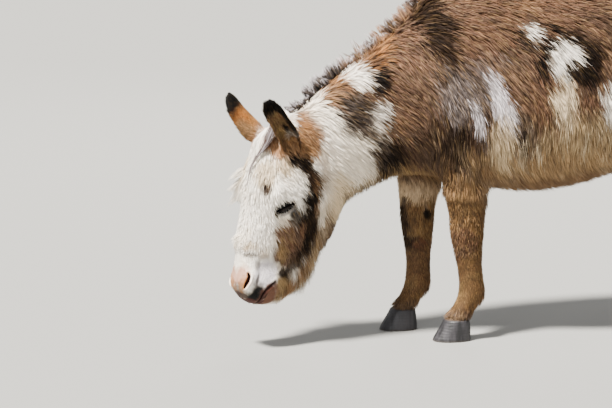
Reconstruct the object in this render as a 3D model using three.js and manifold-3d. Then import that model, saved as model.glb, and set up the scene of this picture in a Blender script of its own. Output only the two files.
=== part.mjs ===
// A small spotted donkey with a shaggy coat, life size, standing with its head lowered and
// turned a little to its left. Millimetres, +Z up. The donkey faces -X and its left side is
// towards -Y. The body is built round the withers, at x 0 and y 0, with the floor at z 0, and
// the finished group is then moved so that the origin is under the middle of its box.
//
// The body is lofted from rings, joined into one solid, and parted again by thin cuts into
// head, neck, trunk, ears, mane, tail and the parts of each leg.
import * as THREE from "three";
import { mergeVertices } from "three/addons/utils/BufferGeometryUtils.js";
import Module from "manifold-3d";

const wasm = await Module();
wasm.setup();

// Driving dimensions
const WITHERS = 1000; // height of the withers, to the tips of the coat
const HEAD_LENGTH = 468; // poll to upper lip
const EAR_LENGTH = 176;
const EAR_WALL = 9; // ear skin with the hair on both faces
const EYE_RADIUS = 19;
const CUT = 0.3; // clear gap between neighbouring parts
const CORONET = 62; // height of the hoof's upper edge
const KNEE_CUT = 235; // height of the cut below the knee
const HOCK_CUT = 335; // height of the cut below the hock
const HUGE = 3000; // larger than the animal, for cutting blocks

// Pose of the neck and head, in degrees
const NECK_TURN = 10; // heading of the neck's front end, to the left of -X
const HEAD_TURN = 20; // heading of the head, to the left of -X
const HEAD_PITCH = 73; // the face line's slope below the horizontal
const POLL = new THREE.Vector3(-470, -66, 596); // top of the head, between the ears

const LEFT = -1; // sign of Y on the donkey's left side
const RIGHT = 1;

const DOWN = new THREE.Vector3(0, 0, -1);

const rad = THREE.MathUtils.degToRad;
const SIDES = [
  ["left", LEFT],
  ["right", RIGHT],
];

// ---- Shared tools ------------------------------------------------------------------------

// Values between the rows of a table, each number by its own Catmull-Rom curve.
function rowAt(rows, t) {
  const last = rows.length - 1;
  const i = Math.min(Math.floor(t * last), last - 1);
  const f = t * last - i;
  const pick = (k) => rows[Math.min(Math.max(k, 0), last)];
  const out = {};
  for (const key of Object.keys(rows[0])) {
    const [a, b, c, d] = [i - 1, i, i + 1, i + 2].map((k) => pick(k)[key]);
    out[key] =
      b + 0.5 * f * (c - a + f * (2 * a - 5 * b + 4 * c - d + f * (3 * (b - c) + d - a)));
  }
  return out;
}

// The rows of a table, with more between them.
function sampled(rows, count) {
  return Array.from({ length: count }, (_, i) => rowAt(rows, i / (count - 1)));
}

// One closed skin through rings of points, each with as many points as the others. The first
// and last ring are closed by a fan round their middle.
function loft(rings) {
  const around = rings[0].length;
  const points = rings.flat();
  const faces = [];
  const at = (ring, k) => ring * around + (k % around);
  for (let r = 0; r < rings.length - 1; r++) {
    for (let k = 0; k < around; k++) {
      faces.push(at(r, k), at(r, k + 1), at(r + 1, k));
      faces.push(at(r, k + 1), at(r + 1, k + 1), at(r + 1, k));
    }
  }
  for (const [ring, turned] of [[0, true], [rings.length - 1, false]]) {
    const middle = new THREE.Vector3();
    rings[ring].forEach((p) => middle.addScaledVector(p, 1 / around));
    points.push(middle);
    for (let k = 0; k < around; k++) {
      const edge = [at(ring, k), at(ring, k + 1)];
      faces.push(...(turned ? edge.reverse() : edge), points.length - 1);
    }
  }
  const geometry = new THREE.BufferGeometry().setFromPoints(points);
  geometry.setIndex(faces);
  return geometry;
}

// A three.js geometry as a solid, turned the right way out.
function solid(geometry) {
  const bare = geometry.clone();
  bare.deleteAttribute("normal");
  bare.deleteAttribute("uv");
  const merged = mergeVertices(bare, 1e-3);
  const vertProperties = new Float32Array(merged.attributes.position.array);
  const triVerts = new Uint32Array(merged.index.array);
  const build = () => new wasm.Manifold(new wasm.Mesh({ numProp: 3, vertProperties, triVerts }));
  const made = build();
  if (made.volume() > 0) return made;
  for (let i = 0; i < triVerts.length; i += 3)
    [triVerts[i + 1], triVerts[i + 2]] = [triVerts[i + 2], triVerts[i + 1]];
  return build();
}

// A solid as a three.js geometry.
function geometryOf(made) {
  const mesh = made.getMesh();
  const geometry = new THREE.BufferGeometry();
  const positions = new Float32Array(mesh.numVert * 3);
  for (let i = 0; i < mesh.numVert; i++)
    for (let k = 0; k < 3; k++)
      positions[3 * i + k] = mesh.vertProperties[i * mesh.numProp + k];
  geometry.setAttribute("position", new THREE.BufferAttribute(positions, 3));
  geometry.setIndex(new THREE.BufferAttribute(new Uint32Array(mesh.triVerts), 1));
  return geometry;
}

function joined(solids) {
  return solids.reduce((a, b) => a.add(b));
}

// A ring across an axis: up and down, and out to each side. power 2 is an ellipse and more is
// squarer. egg above 0 makes it wider below the middle.
function ring({ centre, upward, sideways, up, down, out, power = 2, egg = 0, count }) {
  const curve = (v) => Math.sign(v) * Math.abs(v) ** (2 / power);
  return Array.from({ length: count }, (_, k) => {
    const a = (2 * Math.PI * k) / count;
    const rise = curve(Math.sin(a));
    const reach = out * curve(Math.cos(a)) * (1 - egg * Math.sin(a));
    return new THREE.Vector3()
      .copy(centre)
      .addScaledVector(upward, rise > 0 ? up * rise : down * rise)
      .addScaledVector(sideways, reach);
  });
}

function ellipsoid(centre, radii, turn = [0, 0, 0], detail = 12) {
  const ball = new THREE.SphereGeometry(1, detail, Math.round(detail * 0.6));
  ball.scale(...radii);
  const pose = new THREE.Matrix4().makeRotationFromEuler(new THREE.Euler(...turn.map(rad)));
  pose.setPosition(...centre);
  return solid(ball.applyMatrix4(pose));
}

// A large block that lies on the side of a plane that its normal points to.
function halfSpace(point, normal) {
  const block = new THREE.BoxGeometry(HUGE, HUGE, HUGE);
  block.translate(0, 0, HUGE / 2);
  const turn = new THREE.Quaternion().setFromUnitVectors(
    new THREE.Vector3(0, 0, 1),
    normal.clone().normalize(),
  );
  block.applyQuaternion(turn);
  return solid(block.translate(point.x, point.y, point.z));
}

function block(low, high) {
  const size = high.map((v, i) => v - low[i]);
  const box = new THREE.BoxGeometry(...size);
  return solid(box.translate(...low.map((v, i) => v + size[i] / 2)));
}

// Everything of a solid beyond a plane, and the rest of it, with the cut's gap between them.
// within limits the cut to a region of the solid.
function parted(whole, point, normal, within = null) {
  const n = normal.clone().normalize();
  const near = halfSpace(point.clone().addScaledVector(n, CUT / 2), n);
  const wide = halfSpace(point.clone().addScaledVector(n, -CUT / 2), n);
  const inside = (half) => (within ? half.intersect(within) : half);
  return [whole.intersect(inside(near)), whole.subtract(inside(wide))];
}

// The largest single body of a solid: a cut can leave a sliver beside it.
function largest(made) {
  return made.decompose().sort((a, b) => b.volume() - a.volume())[0];
}

// ---- Trunk and neck ----------------------------------------------------------------------

// Sections from the buttocks to the neck's front end. top and bottom are the upper and lower
// ends of a section in the side view, half its half width, egg its lower fullness, and y and
// turn how far the neck has bent to the left there.
const BODY = [
  { topX: 816, topZ: 842, bottomX: 818, bottomZ: 770, half: 34, egg: 0, y: 0, turn: 0 },
  { topX: 788, topZ: 918, bottomX: 800, bottomZ: 690, half: 106, egg: 0.06, y: 0, turn: 0 },
  { topX: 725, topZ: 968, bottomX: 745, bottomZ: 610, half: 152, egg: 0.1, y: 0, turn: 0 },
  { topX: 630, topZ: 1000, bottomX: 645, bottomZ: 535, half: 184, egg: 0.12, y: 0, turn: 0 },
  { topX: 520, topZ: 998, bottomX: 525, bottomZ: 458, half: 206, egg: 0.11, y: 0, turn: 0 },
  { topX: 400, topZ: 982, bottomX: 400, bottomZ: 415, half: 225, egg: 0.12, y: 0, turn: 0 },
  { topX: 270, topZ: 974, bottomX: 270, bottomZ: 392, half: 233, egg: 0.14, y: 0, turn: 0 },
  { topX: 150, topZ: 984, bottomX: 145, bottomZ: 396, half: 218, egg: 0.15, y: 0, turn: 0 },
  { topX: 35, topZ: WITHERS, bottomX: 20, bottomZ: 424, half: 188, egg: 0.15, y: 0, turn: 0 },
  { topX: -45, topZ: 956, bottomX: -85, bottomZ: 445, half: 168, egg: 0.12, y: 0, turn: 0 },
  { topX: -112, topZ: 880, bottomX: -166, bottomZ: 434, half: 143, egg: 0.09, y: -4, turn: 3 },
  { topX: -190, topZ: 806, bottomX: -224, bottomZ: 404, half: 115, egg: 0.02, y: -12, turn: 6 },
  { topX: -270, topZ: 752, bottomX: -264, bottomZ: 390, half: 98, egg: 0, y: -26, turn: 8 },
  { topX: -348, topZ: 698, bottomX: -298, bottomZ: 378, half: 88, egg: 0, y: -42, turn: 9 },
  { topX: -420, topZ: 638, bottomX: -340, bottomZ: 372, half: 80, egg: 0, y: -56, turn: NECK_TURN },
];

function bodySolid() {
  const rings = sampled(BODY, 28).map((row) => {
    const top = new THREE.Vector3(row.topX, row.y, row.topZ);
    const bottom = new THREE.Vector3(row.bottomX, row.y, row.bottomZ);
    const lean = ((row.topX - row.bottomX) / 2) * Math.tan(rad(row.turn));
    top.y += lean;
    bottom.y -= lean;
    const height = top.distanceTo(bottom);
    return ring({
      centre: bottom.clone().lerp(top, 0.5),
      upward: top.clone().sub(bottom).normalize(),
      sideways: new THREE.Vector3(-Math.sin(rad(row.turn)), Math.cos(rad(row.turn)), 0),
      up: height / 2,
      down: height / 2,
      out: row.half,
      power: 2.15,
      egg: row.egg,
      count: 24,
    });
  });
  return solid(loft(rings));
}

// Shoulder blade and upper arm, where they show through the coat.
function muscles(side) {
  return [
    ellipsoid([-24, side * 100, 690], [96, 78, 155], [0, -14, 0]),
    ellipsoid([-58, side * 86, 562], [92, 70, 104], [0, 0, 0]),
  ];
}

// ---- Legs --------------------------------------------------------------------------------

// The hoof's upper edge, where the pastern stands on it: its middle from the fetlock, and its
// half length and half width
const HOOF_TOP = { middle: -37, long: 33, half: 37 };

// Level sections of a leg, from the top down: x of its front and back, y of its middle and
// its half width.
function legSolid(rows, side, count, around = 12) {
  const rings = sampled(rows, count).map((row) =>
    ring({
      centre: new THREE.Vector3((row.front + row.back) / 2, side * row.y, row.z),
      upward: new THREE.Vector3(1, 0, 0),
      sideways: new THREE.Vector3(0, side, 0),
      up: (row.back - row.front) / 2,
      down: (row.back - row.front) / 2,
      out: row.half,
      power: 2.2,
      count: around,
    }),
  );
  return solid(loft(rings));
}

// A foreleg, placed by the x of its knee and fetlock.
function foreleg({ elbow, knee, fetlock, y }) {
  const at = (z, x, front, back, half, out) => ({
    z, front: x - front, back: x + back, half, y: out });
  return [
    at(660, elbow - 10, 84, 92, 52, 94),
    at(560, elbow, 84, 98, 62, 98),
    at(480, elbow + 4, 74, 84, 56, 98),
    at(400, (elbow + knee) / 2, 62, 66, 49, 97),
    at(340, knee, 50, 57, 44, y),
    at(292, knee, 49, 56, 45, y),
    at(245, knee + 2, 40, 48, 38, y),
    at(190, (knee + fetlock) / 2 + 2, 33, 40, 32, y),
    at(140, fetlock, 34, 40, 34, y),
    at(112, fetlock - 2, 38, 42, 36, y),
    at(84, fetlock - 18, 38, 32, 34, y),
    at(CORONET + CUT, fetlock + HOOF_TOP.middle, HOOF_TOP.long, HOOF_TOP.long, HOOF_TOP.half, y),
  ];
}

// A hind leg, placed by the x of its hock point and fetlock.
function hindleg({ hock, fetlock, y }) {
  const at = (z, front, back, half, out) => ({ z, front, back, half, y: out });
  const middle = (hock + fetlock) / 2;
  return [
    at(880, 590, 752, 50, 96),
    at(770, 552, 796, 72, 106),
    at(660, 546, 800, 78, 110),
    at(575, 556, 786, 74, 110),
    at(505, hock - 200, hock - 24, 62, 107),
    at(445, hock - 146, hock - 6, 51, 104),
    at(398, hock - 105, hock + 8, 43, y),
    at(352, hock - 94, hock, 40, y),
    at(300, middle - 56, middle + 22, 34, y),
    at(220, fetlock - 36, fetlock + 34, 31, y),
    at(150, fetlock - 36, fetlock + 38, 33, y),
    at(116, fetlock - 41, fetlock + 42, 36, y),
    at(86, fetlock - 56, fetlock + 15, 34, y),
    at(
      CORONET + CUT, fetlock + HOOF_TOP.middle - HOOF_TOP.long,
      fetlock + HOOF_TOP.middle + HOOF_TOP.long, HOOF_TOP.half, y),
  ];
}

// Stance of each leg, x in the body's frame
const FORE = {
  left: { elbow: 26, knee: 38, fetlock: 52, y: 92 },
  right: { elbow: -40, knee: -52, fetlock: -50, y: 96 },
};
const HIND = {
  left: { hock: 800, fetlock: 742, y: 100 },
  right: { hock: 772, fetlock: 700, y: 102 },
};

// A hoof under a fetlock: upright, narrow and flat underneath, its wall sloping to the toe.
function hoof(fetlock, y, side) {
  const rows = [
    { z: 0, toe: -104, heel: 2, half: 42 },
    { z: 8, toe: -101, heel: 2, half: 42 },
    { z: 36, toe: -84, heel: 0, half: 40 },
    { z: CORONET, toe: -70, heel: -4, half: HOOF_TOP.half },
  ].map((r) => ({ ...r, toe: fetlock + r.toe, heel: fetlock + r.heel }));
  const rings = rows.map((row) =>
    ring({
      centre: new THREE.Vector3((row.toe + row.heel) / 2, side * y, row.z),
      upward: new THREE.Vector3(1, 0, 0),
      sideways: new THREE.Vector3(0, side, 0),
      up: (row.heel - row.toe) / 2,
      down: (row.heel - row.toe) / 2,
      out: row.half,
      power: 2.3,
      count: 18,
    }),
  );
  return solid(loft(rings));
}

// ---- Head --------------------------------------------------------------------------------

// The head's own axes: along the face, out of the forehead, and to the head's left.
const HEAD_AXES = (() => {
  const heading = new THREE.Vector3(-Math.cos(rad(HEAD_TURN)), -Math.sin(rad(HEAD_TURN)), 0);
  const up = new THREE.Vector3(0, 0, 1);
  const [c, s] = [Math.cos(rad(HEAD_PITCH)), Math.sin(rad(HEAD_PITCH))];
  return {
    along: heading.clone().multiplyScalar(c).addScaledVector(up, -s),
    out: heading.clone().multiplyScalar(s).addScaledVector(up, c),
    left: up.clone().cross(heading),
  };
})();

// A point of the head in the body's frame. side is positive to the head's left.
function headPoint(along, out, side) {
  return POLL.clone()
    .addScaledVector(HEAD_AXES.along, along)
    .addScaledVector(HEAD_AXES.out, out)
    .addScaledVector(HEAD_AXES.left, side);
}

// Sections across the head from behind the poll to the lips: the face line and the jaw line,
// and the half width at the brow, at the middle and at the jaw. Shares of the head's length.
const HEAD = [
  { at: -0.1, top: -0.05, brow: 0.09, middle: 0.15, jaw: 0.085, bottom: -0.37 },
  { at: -0.02, top: 0.005, brow: 0.125, middle: 0.175, jaw: 0.11, bottom: -0.48 },
  { at: 0.07, top: 0.046, brow: 0.15, middle: 0.195, jaw: 0.12, bottom: -0.54 },
  { at: 0.18, top: 0.082, brow: 0.166, middle: 0.212, jaw: 0.115, bottom: -0.57 },
  { at: 0.3, top: 0.112, brow: 0.17, middle: 0.218, jaw: 0.105, bottom: -0.58 },
  { at: 0.42, top: 0.092, brow: 0.156, middle: 0.2, jaw: 0.092, bottom: -0.574 },
  { at: 0.54, top: 0.07, brow: 0.132, middle: 0.166, jaw: 0.078, bottom: -0.562 },
  { at: 0.66, top: 0.068, brow: 0.112, middle: 0.138, jaw: 0.066, bottom: -0.525 },
  { at: 0.77, top: 0.052, brow: 0.1, middle: 0.12, jaw: 0.06, bottom: -0.47 },
  { at: 0.87, top: 0.028, brow: 0.098, middle: 0.122, jaw: 0.062, bottom: -0.395 },
  { at: 0.94, top: 0.0, brow: 0.09, middle: 0.122, jaw: 0.062, bottom: -0.32 },
  { at: 0.99, top: -0.028, brow: 0.072, middle: 0.108, jaw: 0.05, bottom: -0.26 },
  { at: 1.022, top: -0.07, brow: 0.034, middle: 0.056, jaw: 0.028, bottom: -0.2 },
];

// A section of the head as one closed curve through its brow, middle and jaw.
function headRing(row, count) {
  const k = HEAD_LENGTH;
  const depth = row.top - row.bottom;
  const right = [
    [row.brow * 0.55, row.top - 0.02 * depth],
    [row.brow, row.top - 0.13 * depth],
    [row.middle, row.top - 0.4 * depth],
    [(row.middle + row.jaw) / 2 + 0.01, row.top - 0.66 * depth],
    [row.jaw, row.top - 0.88 * depth],
  ];
  const outline = [
    [0, row.top],
    ...right,
    [0, row.bottom],
    ...right.map(([w, v]) => [-w, v]).reverse(),
  ].map(([w, v]) => headPoint(row.at * k, v * k, w * k));
  const curve = new THREE.CatmullRomCurve3(outline, true, "centripetal");
  return curve.getSpacedPoints(count).slice(0, count);
}

function skullSolid() {
  const skull = solid(loft(sampled(HEAD, 20).map((row) => headRing(row, 20))));
  const k = HEAD_LENGTH;
  const bulge = (at, out, side, radii) => {
    const ball = new THREE.SphereGeometry(1, 10, 6).scale(...radii);
    const pose = new THREE.Matrix4().makeBasis(
      HEAD_AXES.along, HEAD_AXES.out, HEAD_AXES.left);
    pose.setPosition(headPoint(at * k, out * k, side * k));
    return solid(ball.applyMatrix4(pose));
  };
  const paired = [LEFT, RIGHT].flatMap((s) => [
    bulge(0.375, -0.012, s * 0.15, [42, 24, 20]), // brow over the eye
    bulge(0.92, -0.036, s * 0.066, [30, 20, 20]), // nostril
    bulge(0.22, -0.3, s * 0.128, [84, 72, 34]), // cheek
  ]);
  const single = [
        bulge(0.965, -0.235, 0, [24, 26, 34]), // chin
    bulge(0.15, 0.066, 0, [66, 20, 48]), // forelock
  ];
  return joined([skull, ...paired, ...single]);
}

// Centre of an eye, in the orbit below the brow
function eyeCentre(side) {
  return headPoint(0.44 * HEAD_LENGTH, -0.06 * HEAD_LENGTH, -side * 0.163 * HEAD_LENGTH);
}

function ball(centre, radius) {
  return solid(new THREE.SphereGeometry(radius, 12, 8).translate(centre.x, centre.y, centre.z));
}

// ---- Ears --------------------------------------------------------------------------------

// An ear's base, its axis, and the way its opening faces.
function earFrame(side) {
  const left = -side;
  const base = headPoint(0.108 * HEAD_LENGTH, -0.066 * HEAD_LENGTH, left * 0.128 * HEAD_LENGTH);
  const axis = new THREE.Vector3()
    .addScaledVector(HEAD_AXES.along, -0.5)
    .addScaledVector(HEAD_AXES.out, 0.87)
    .addScaledVector(HEAD_AXES.left, left * 0.3)
    .normalize();
  const opening = new THREE.Vector3()
    .addScaledVector(HEAD_AXES.along, 0.5)
    .addScaledVector(HEAD_AXES.out, 0.3)
    .addScaledVector(HEAD_AXES.left, left * 0.9);
  opening.addScaledVector(axis, -opening.dot(axis)).normalize();
  return { base, axis, opening, across: axis.clone().cross(opening) };
}

// Sections up an ear: how far the shell wraps round the opening, in degrees each way, its
// width, and how far it leans back.
const EAR = [
  { at: -0.16, wrap: 150, width: 40, lean: 0 },
  { at: 0.0, wrap: 145, width: 48, lean: 0 },
  { at: 0.14, wrap: 125, width: 60, lean: 2 },
  { at: 0.3, wrap: 106, width: 71, lean: 4 },
  { at: 0.48, wrap: 94, width: 74, lean: 4 },
  { at: 0.66, wrap: 84, width: 70, lean: 2 },
  { at: 0.82, wrap: 74, width: 60, lean: -3 },
  { at: 0.93, wrap: 64, width: 46, lean: -8 },
  { at: 1.0, wrap: 50, width: 26, lean: -13 },
];

function earSolid(side) {
  const { base, axis, opening, across } = earFrame(side);
  const steps = 6;
  const rings = sampled(EAR, 11).map((row) => {
    const wrap = rad(row.wrap);
    const radius = row.width / 2 / Math.sin(Math.min(wrap, Math.PI / 2));
    const wall = Math.min(EAR_WALL, row.width * 0.3);
    const middle = base
      .clone()
      .addScaledVector(axis, row.at * EAR_LENGTH)
      .addScaledVector(opening, row.lean);
    const at = (angle, r) =>
      middle
        .clone()
        .addScaledVector(opening, radius * 0.5 - r * Math.cos(angle))
        .addScaledVector(across, r * Math.sin(angle));
    const arc = (r, sign) =>
      Array.from({ length: steps + 1 }, (_, i) => at(sign * wrap * (1 - (2 * i) / steps), r));
    return [...arc(radius, 1), ...arc(radius - wall, -1)];
  });
  return solid(loft(rings));
}

// ---- Mane and tail -----------------------------------------------------------------------

// The upright mane along the crest, from behind the ears to the withers.
const MANE = [
  { x: -418, z: 626, y: -58, rise: 14, half: 11 },
  { x: -372, z: 668, y: -48, rise: 34, half: 15 },
  { x: -310, z: 716, y: -34, rise: 44, half: 17 },
  { x: -240, z: 764, y: -20, rise: 47, half: 17 },
  { x: -170, z: 816, y: -10, rise: 43, half: 16 },
  { x: -105, z: 880, y: -3, rise: 33, half: 15 },
  { x: -45, z: 948, y: 0, rise: 20, half: 12 },
  { x: 0, z: 980, y: 0, rise: 6, half: 9 },
];

function maneSolid() {
  const rows = sampled(MANE, 15);
  const rings = rows.map((row, i) => {
    const [a, b] = [rows[Math.max(i - 1, 0)], rows[Math.min(i + 1, rows.length - 1)]];
    const along = new THREE.Vector3(b.x - a.x, b.y - a.y, b.z - a.z).normalize();
    const sideways = new THREE.Vector3(-along.y, along.x, 0).normalize();
    return ring({
      centre: new THREE.Vector3(row.x, row.y, row.z),
      upward: along.clone().cross(sideways).normalize(),
      sideways,
      up: row.rise,
      down: 34,
      out: row.half,
      power: 1.8,
      count: 8,
    });
  });
  return solid(loft(rings));
}

// The tail hangs behind the buttocks: a short-haired dock and a long switch.
const TAIL = [
  { x: 770, z: 915, half: 30 },
  { x: 812, z: 898, half: 29 },
  { x: 842, z: 850, half: 25 },
  { x: 852, z: 780, half: 22 },
  { x: 856, z: 690, half: 21 },
  { x: 858, z: 600, half: 25 },
  { x: 858, z: 520, half: 33 },
  { x: 857, z: 440, half: 34 },
  { x: 854, z: 375, half: 24 },
  { x: 852, z: 330, half: 8 },
];

function tailSolid() {
  const rows = sampled(TAIL, 16);
  const rings = rows.map((row, i) => {
    const [a, b] = [rows[Math.max(i - 1, 0)], rows[Math.min(i + 1, rows.length - 1)]];
    const along = new THREE.Vector3(b.x - a.x, 0, b.z - a.z).normalize();
    const sideways = new THREE.Vector3(0, 1, 0);
    return ring({
      centre: new THREE.Vector3(row.x, 0, row.z),
      upward: sideways.clone().cross(along),
      sideways,
      up: row.half,
      down: row.half,
      out: row.half,
      count: 10,
    });
  });
  return solid(loft(rings));
}

// ---- Assembly ----------------------------------------------------------------------------

const parts = new Map();

function keep(name, made) {
  parts.set(name, largest(made));
}

const legs = new Map();
for (const [name, side] of SIDES) {
  legs.set(`foreleg_${name}`, legSolid(foreleg(FORE[name]), side, 17));
  legs.set(`hindleg_${name}`, legSolid(hindleg(HIND[name]), side, 20));
}
const ears = SIDES.map(([, side]) => earSolid(side));

let body = joined([
  bodySolid(),
  ...SIDES.flatMap(([, side]) => muscles(side)),
  ...legs.values(),
  skullSolid(),
  tailSolid(),
  ...ears,
]);

// Ears leave the head just above the skin.
const EAR_FOOT = 0.21; // share of the ear's length that stays on the head
for (const [name, side] of SIDES) {
  const { base, axis } = earFrame(side);
  const foot = base.clone().addScaledVector(axis, EAR_FOOT * EAR_LENGTH);
  const around = ball(foot.clone().addScaledVector(axis, 0.5 * EAR_LENGTH), 0.57 * EAR_LENGTH);
  const [ear, rest] = parted(body, foot, axis, around);
  keep(`ear_${name}`, ear);
  body = rest;
}

// Eyes sit in sockets a little wider than they are.
for (const [name, side] of SIDES) {
  const centre = eyeCentre(side);
  body = body.subtract(ball(centre, EYE_RADIUS + CUT));
  keep(`eye_${name}`, ball(centre, EYE_RADIUS));
}

// The mane stands on the crest.
const lifted = body.translate([0, 0, CUT]);
keep("mane", maneSolid().subtract(body.add(lifted)));

// Where the legs leave the trunk: the stretch of x that a leg takes up, and a point of the cut
// and the way it faces, both in x and z
const FORE_ROOT = { x: [-128, 125], at: [0, 412], facing: [-0.167, -1] };
const HIND_ROOT = { x: [540, 845], at: [545, 455], facing: [0.75, -1] };

function cutLeg(name, side, root, jointCut) {
  const outer = side * HUGE;
  const region = block(
    [root.x[0], Math.min(0, outer), -HUGE],
    [root.x[1], Math.max(0, outer), HUGE]);
  const [leg, rest] = parted(
    body,
    new THREE.Vector3(root.at[0], 0, root.at[1]),
    new THREE.Vector3(root.facing[0], 0, root.facing[1]),
    region);
  body = rest;
  const [lower, upper] = parted(leg, new THREE.Vector3(0, 0, jointCut), DOWN);
  keep(`${name}_upper`, upper);
  keep(`${name}_lower`, lower);
}

for (const [name, side] of SIDES) {
  cutLeg(`foreleg_${name}`, side, FORE_ROOT, KNEE_CUT);
  cutLeg(`hindleg_${name}`, side, HIND_ROOT, HOCK_CUT);
  keep(`hoof_fore_${name}`, hoof(FORE[name].fetlock, FORE[name].y, side));
  keep(`hoof_hind_${name}`, hoof(HIND[name].fetlock, HIND[name].y, side));
}

// Tail, head and neck, each beyond one plane
const DOCK = new THREE.Vector3(818, 0, 892); // where the tail leaves the rump
const THROAT = headPoint(-14, -60, 0); // on the cut between head and neck
const NECK_ROOT = new THREE.Vector3(-128, 0, 660); // on the cut between neck and trunk
const aroundTail = block([816, -60, 250], [HUGE, 60, 960]);
const [tail, untailed] = parted(body, DOCK, new THREE.Vector3(1, 0, -0.25), aroundTail);
keep("tail", tail);
const towardsFace = HEAD_AXES.along
  .clone()
  .multiplyScalar(0.5)
  .addScaledVector(HEAD_AXES.out, 0.86);
const [head, unheaded] = parted(untailed, THROAT, towardsFace);
keep("head", head);
const [neck, trunk] = parted(unheaded, NECK_ROOT, new THREE.Vector3(-0.93, 0, -0.36));
keep("neck", neck);
keep("trunk", trunk);

// Colours of the parts: a brown and white coat, dark hair on mane and tail
const COAT = { color: 0x8a6a50, roughness: 0.9 };
const PALE = { color: 0xd9cdbb, roughness: 0.9 };
const FINISH = {
  trunk: COAT,
  neck: COAT,
  head: PALE,
  ear: { color: 0xb08a62, roughness: 0.9 },
  eye: { color: 0x1a120d, roughness: 0.1 },
  mane: { color: 0x4b4440, roughness: 0.9 },
  tail: { color: 0x6d5644, roughness: 0.9 },
  foreleg: PALE,
  hindleg: PALE,
  hoof: { color: 0x3d3c3e, roughness: 0.6 },
};

const donkey = new THREE.Group();
for (const [name, made] of parts) {
  const finish = FINISH[name.split("_")[0]];
  const mesh = new THREE.Mesh(
    geometryOf(made), new THREE.MeshStandardMaterial({ ...finish, metalness: 0 }));
  mesh.name = name;
  donkey.add(mesh);
}

// The origin is on the floor, under the middle of the donkey's box.
const box = new THREE.Box3().setFromObject(donkey, true);
const middle = box.getCenter(new THREE.Vector3());
donkey.children.forEach((mesh) => mesh.position.set(-middle.x, -middle.y, -box.min.z));

export default donkey;
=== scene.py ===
"""The looks of a small spotted donkey with a shaggy coat, life size.

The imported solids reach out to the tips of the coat. One skin is made from the nodes of flesh,
smoothed, and drawn in by the coat's depth; its face is modelled further. The coat is tufts of
closed mesh that stand on the skin. Skin and tufts take their colour from the same markings.

Places are in the body's frame: metres, +Z up. The donkey faces -X, its left side is towards -Y,
the withers are at x 0 and y 0, and the floor is at z 0. Places on the head are shares of its
length: along the face from the poll, out of the forehead, and to the head's left.
"""

import math

import bmesh
import bpy
import numpy as np
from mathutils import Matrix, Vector
from mathutils.bvhtree import BVHTree


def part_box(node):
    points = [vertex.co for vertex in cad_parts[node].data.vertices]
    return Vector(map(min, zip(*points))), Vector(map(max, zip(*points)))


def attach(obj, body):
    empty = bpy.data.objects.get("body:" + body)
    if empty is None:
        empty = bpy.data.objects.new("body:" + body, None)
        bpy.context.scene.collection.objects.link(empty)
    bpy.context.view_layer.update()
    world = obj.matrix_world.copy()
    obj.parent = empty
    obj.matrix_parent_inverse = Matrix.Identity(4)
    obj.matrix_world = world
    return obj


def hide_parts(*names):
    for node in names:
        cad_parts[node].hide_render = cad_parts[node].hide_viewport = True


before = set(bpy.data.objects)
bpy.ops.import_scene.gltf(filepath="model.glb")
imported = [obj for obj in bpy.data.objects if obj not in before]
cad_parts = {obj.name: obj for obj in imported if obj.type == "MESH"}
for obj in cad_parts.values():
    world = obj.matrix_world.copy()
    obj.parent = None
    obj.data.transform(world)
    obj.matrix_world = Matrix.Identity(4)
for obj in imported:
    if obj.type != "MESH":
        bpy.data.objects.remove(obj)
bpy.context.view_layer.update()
rng = np.random.default_rng(7)

# ---- Driving dimensions ------------------------------------------------------------------

FORE_TOE = 0.052  # the left fore hoof's toe, in front of the withers
ORIGIN = np.array([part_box("hoof_fore_left")[0].x + FORE_TOE, 0.0, 0.0])

HEAD_LENGTH = 0.468  # poll to upper lip
POLL = np.array([-0.470, -0.066, 0.596])
HEAD_TURN = math.radians(20)  # heading of the head, to the left of -X
HEAD_PITCH = math.radians(73)  # the face line's slope below the horizontal

UP = np.array([0.0, 0.0, 1.0])
HEADING = np.array([-math.cos(HEAD_TURN), -math.sin(HEAD_TURN), 0.0])
ALONG = HEADING * math.cos(HEAD_PITCH) - UP * math.sin(HEAD_PITCH)
OUT = HEADING * math.sin(HEAD_PITCH) + UP * math.cos(HEAD_PITCH)
LEFT = np.cross(UP, HEADING)
HEAD_AXES = np.array([ALONG, OUT, LEFT])
SIDES = {"left": 1, "right": -1}  # the sign of a distance to the head's left

EYE = np.array([0.450, -0.092, 0.138])  # centre of the left eyeball
EYE_RADIUS = 0.0200
SLIT = np.array([0.66, 0.72, -0.20])  # from the rear corner of the eye to the front one
GAZE = np.array([0.05, 0.36, 0.93])  # the eye's axis

# The opening between the lids, as angles at the eyeball's centre
SLIT_WIDE = math.radians(76)
UPPER_LID = math.radians(9)
LOWER_LID = math.radians(16)
LID_BACK = -0.004  # how far out from the eyeball's centre the lids begin

# The nostril from its upper end to its lower, and the mouth from its corner to the middle
NOSTRIL = [(0.862, -0.004, 0.084), (0.879, -0.014, 0.091), (0.904, -0.008, 0.096),
           (0.930, 0.000, 0.090), (0.952, 0.002, 0.078)]
NOSTRIL_WAY = (0.10, 0.55, 0.83)
NOSTRIL_BACK = (0.20, -0.80, 0.50)  # towards its rear rim
MOUTH = [(0.872, -0.176, 0.119), (0.897, -0.153, 0.121), (0.925, -0.130, 0.119),
         (0.957, -0.118, 0.115), (0.985, -0.118, 0.105), (1.003, -0.122, 0.070),
         (1.012, -0.126, 0.030), (1.014, -0.128, 0.0)]
MOUTH_DEPTH = 0.0075
LINE_PLACES = 24  # in each line when it is laid on the skin
nostril_line, mouth_line = {}, {}  # each side's line on the skin

VOXEL = 0.0050  # the skin's mesh size
HOOF_VOXEL = 0.0022

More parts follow.
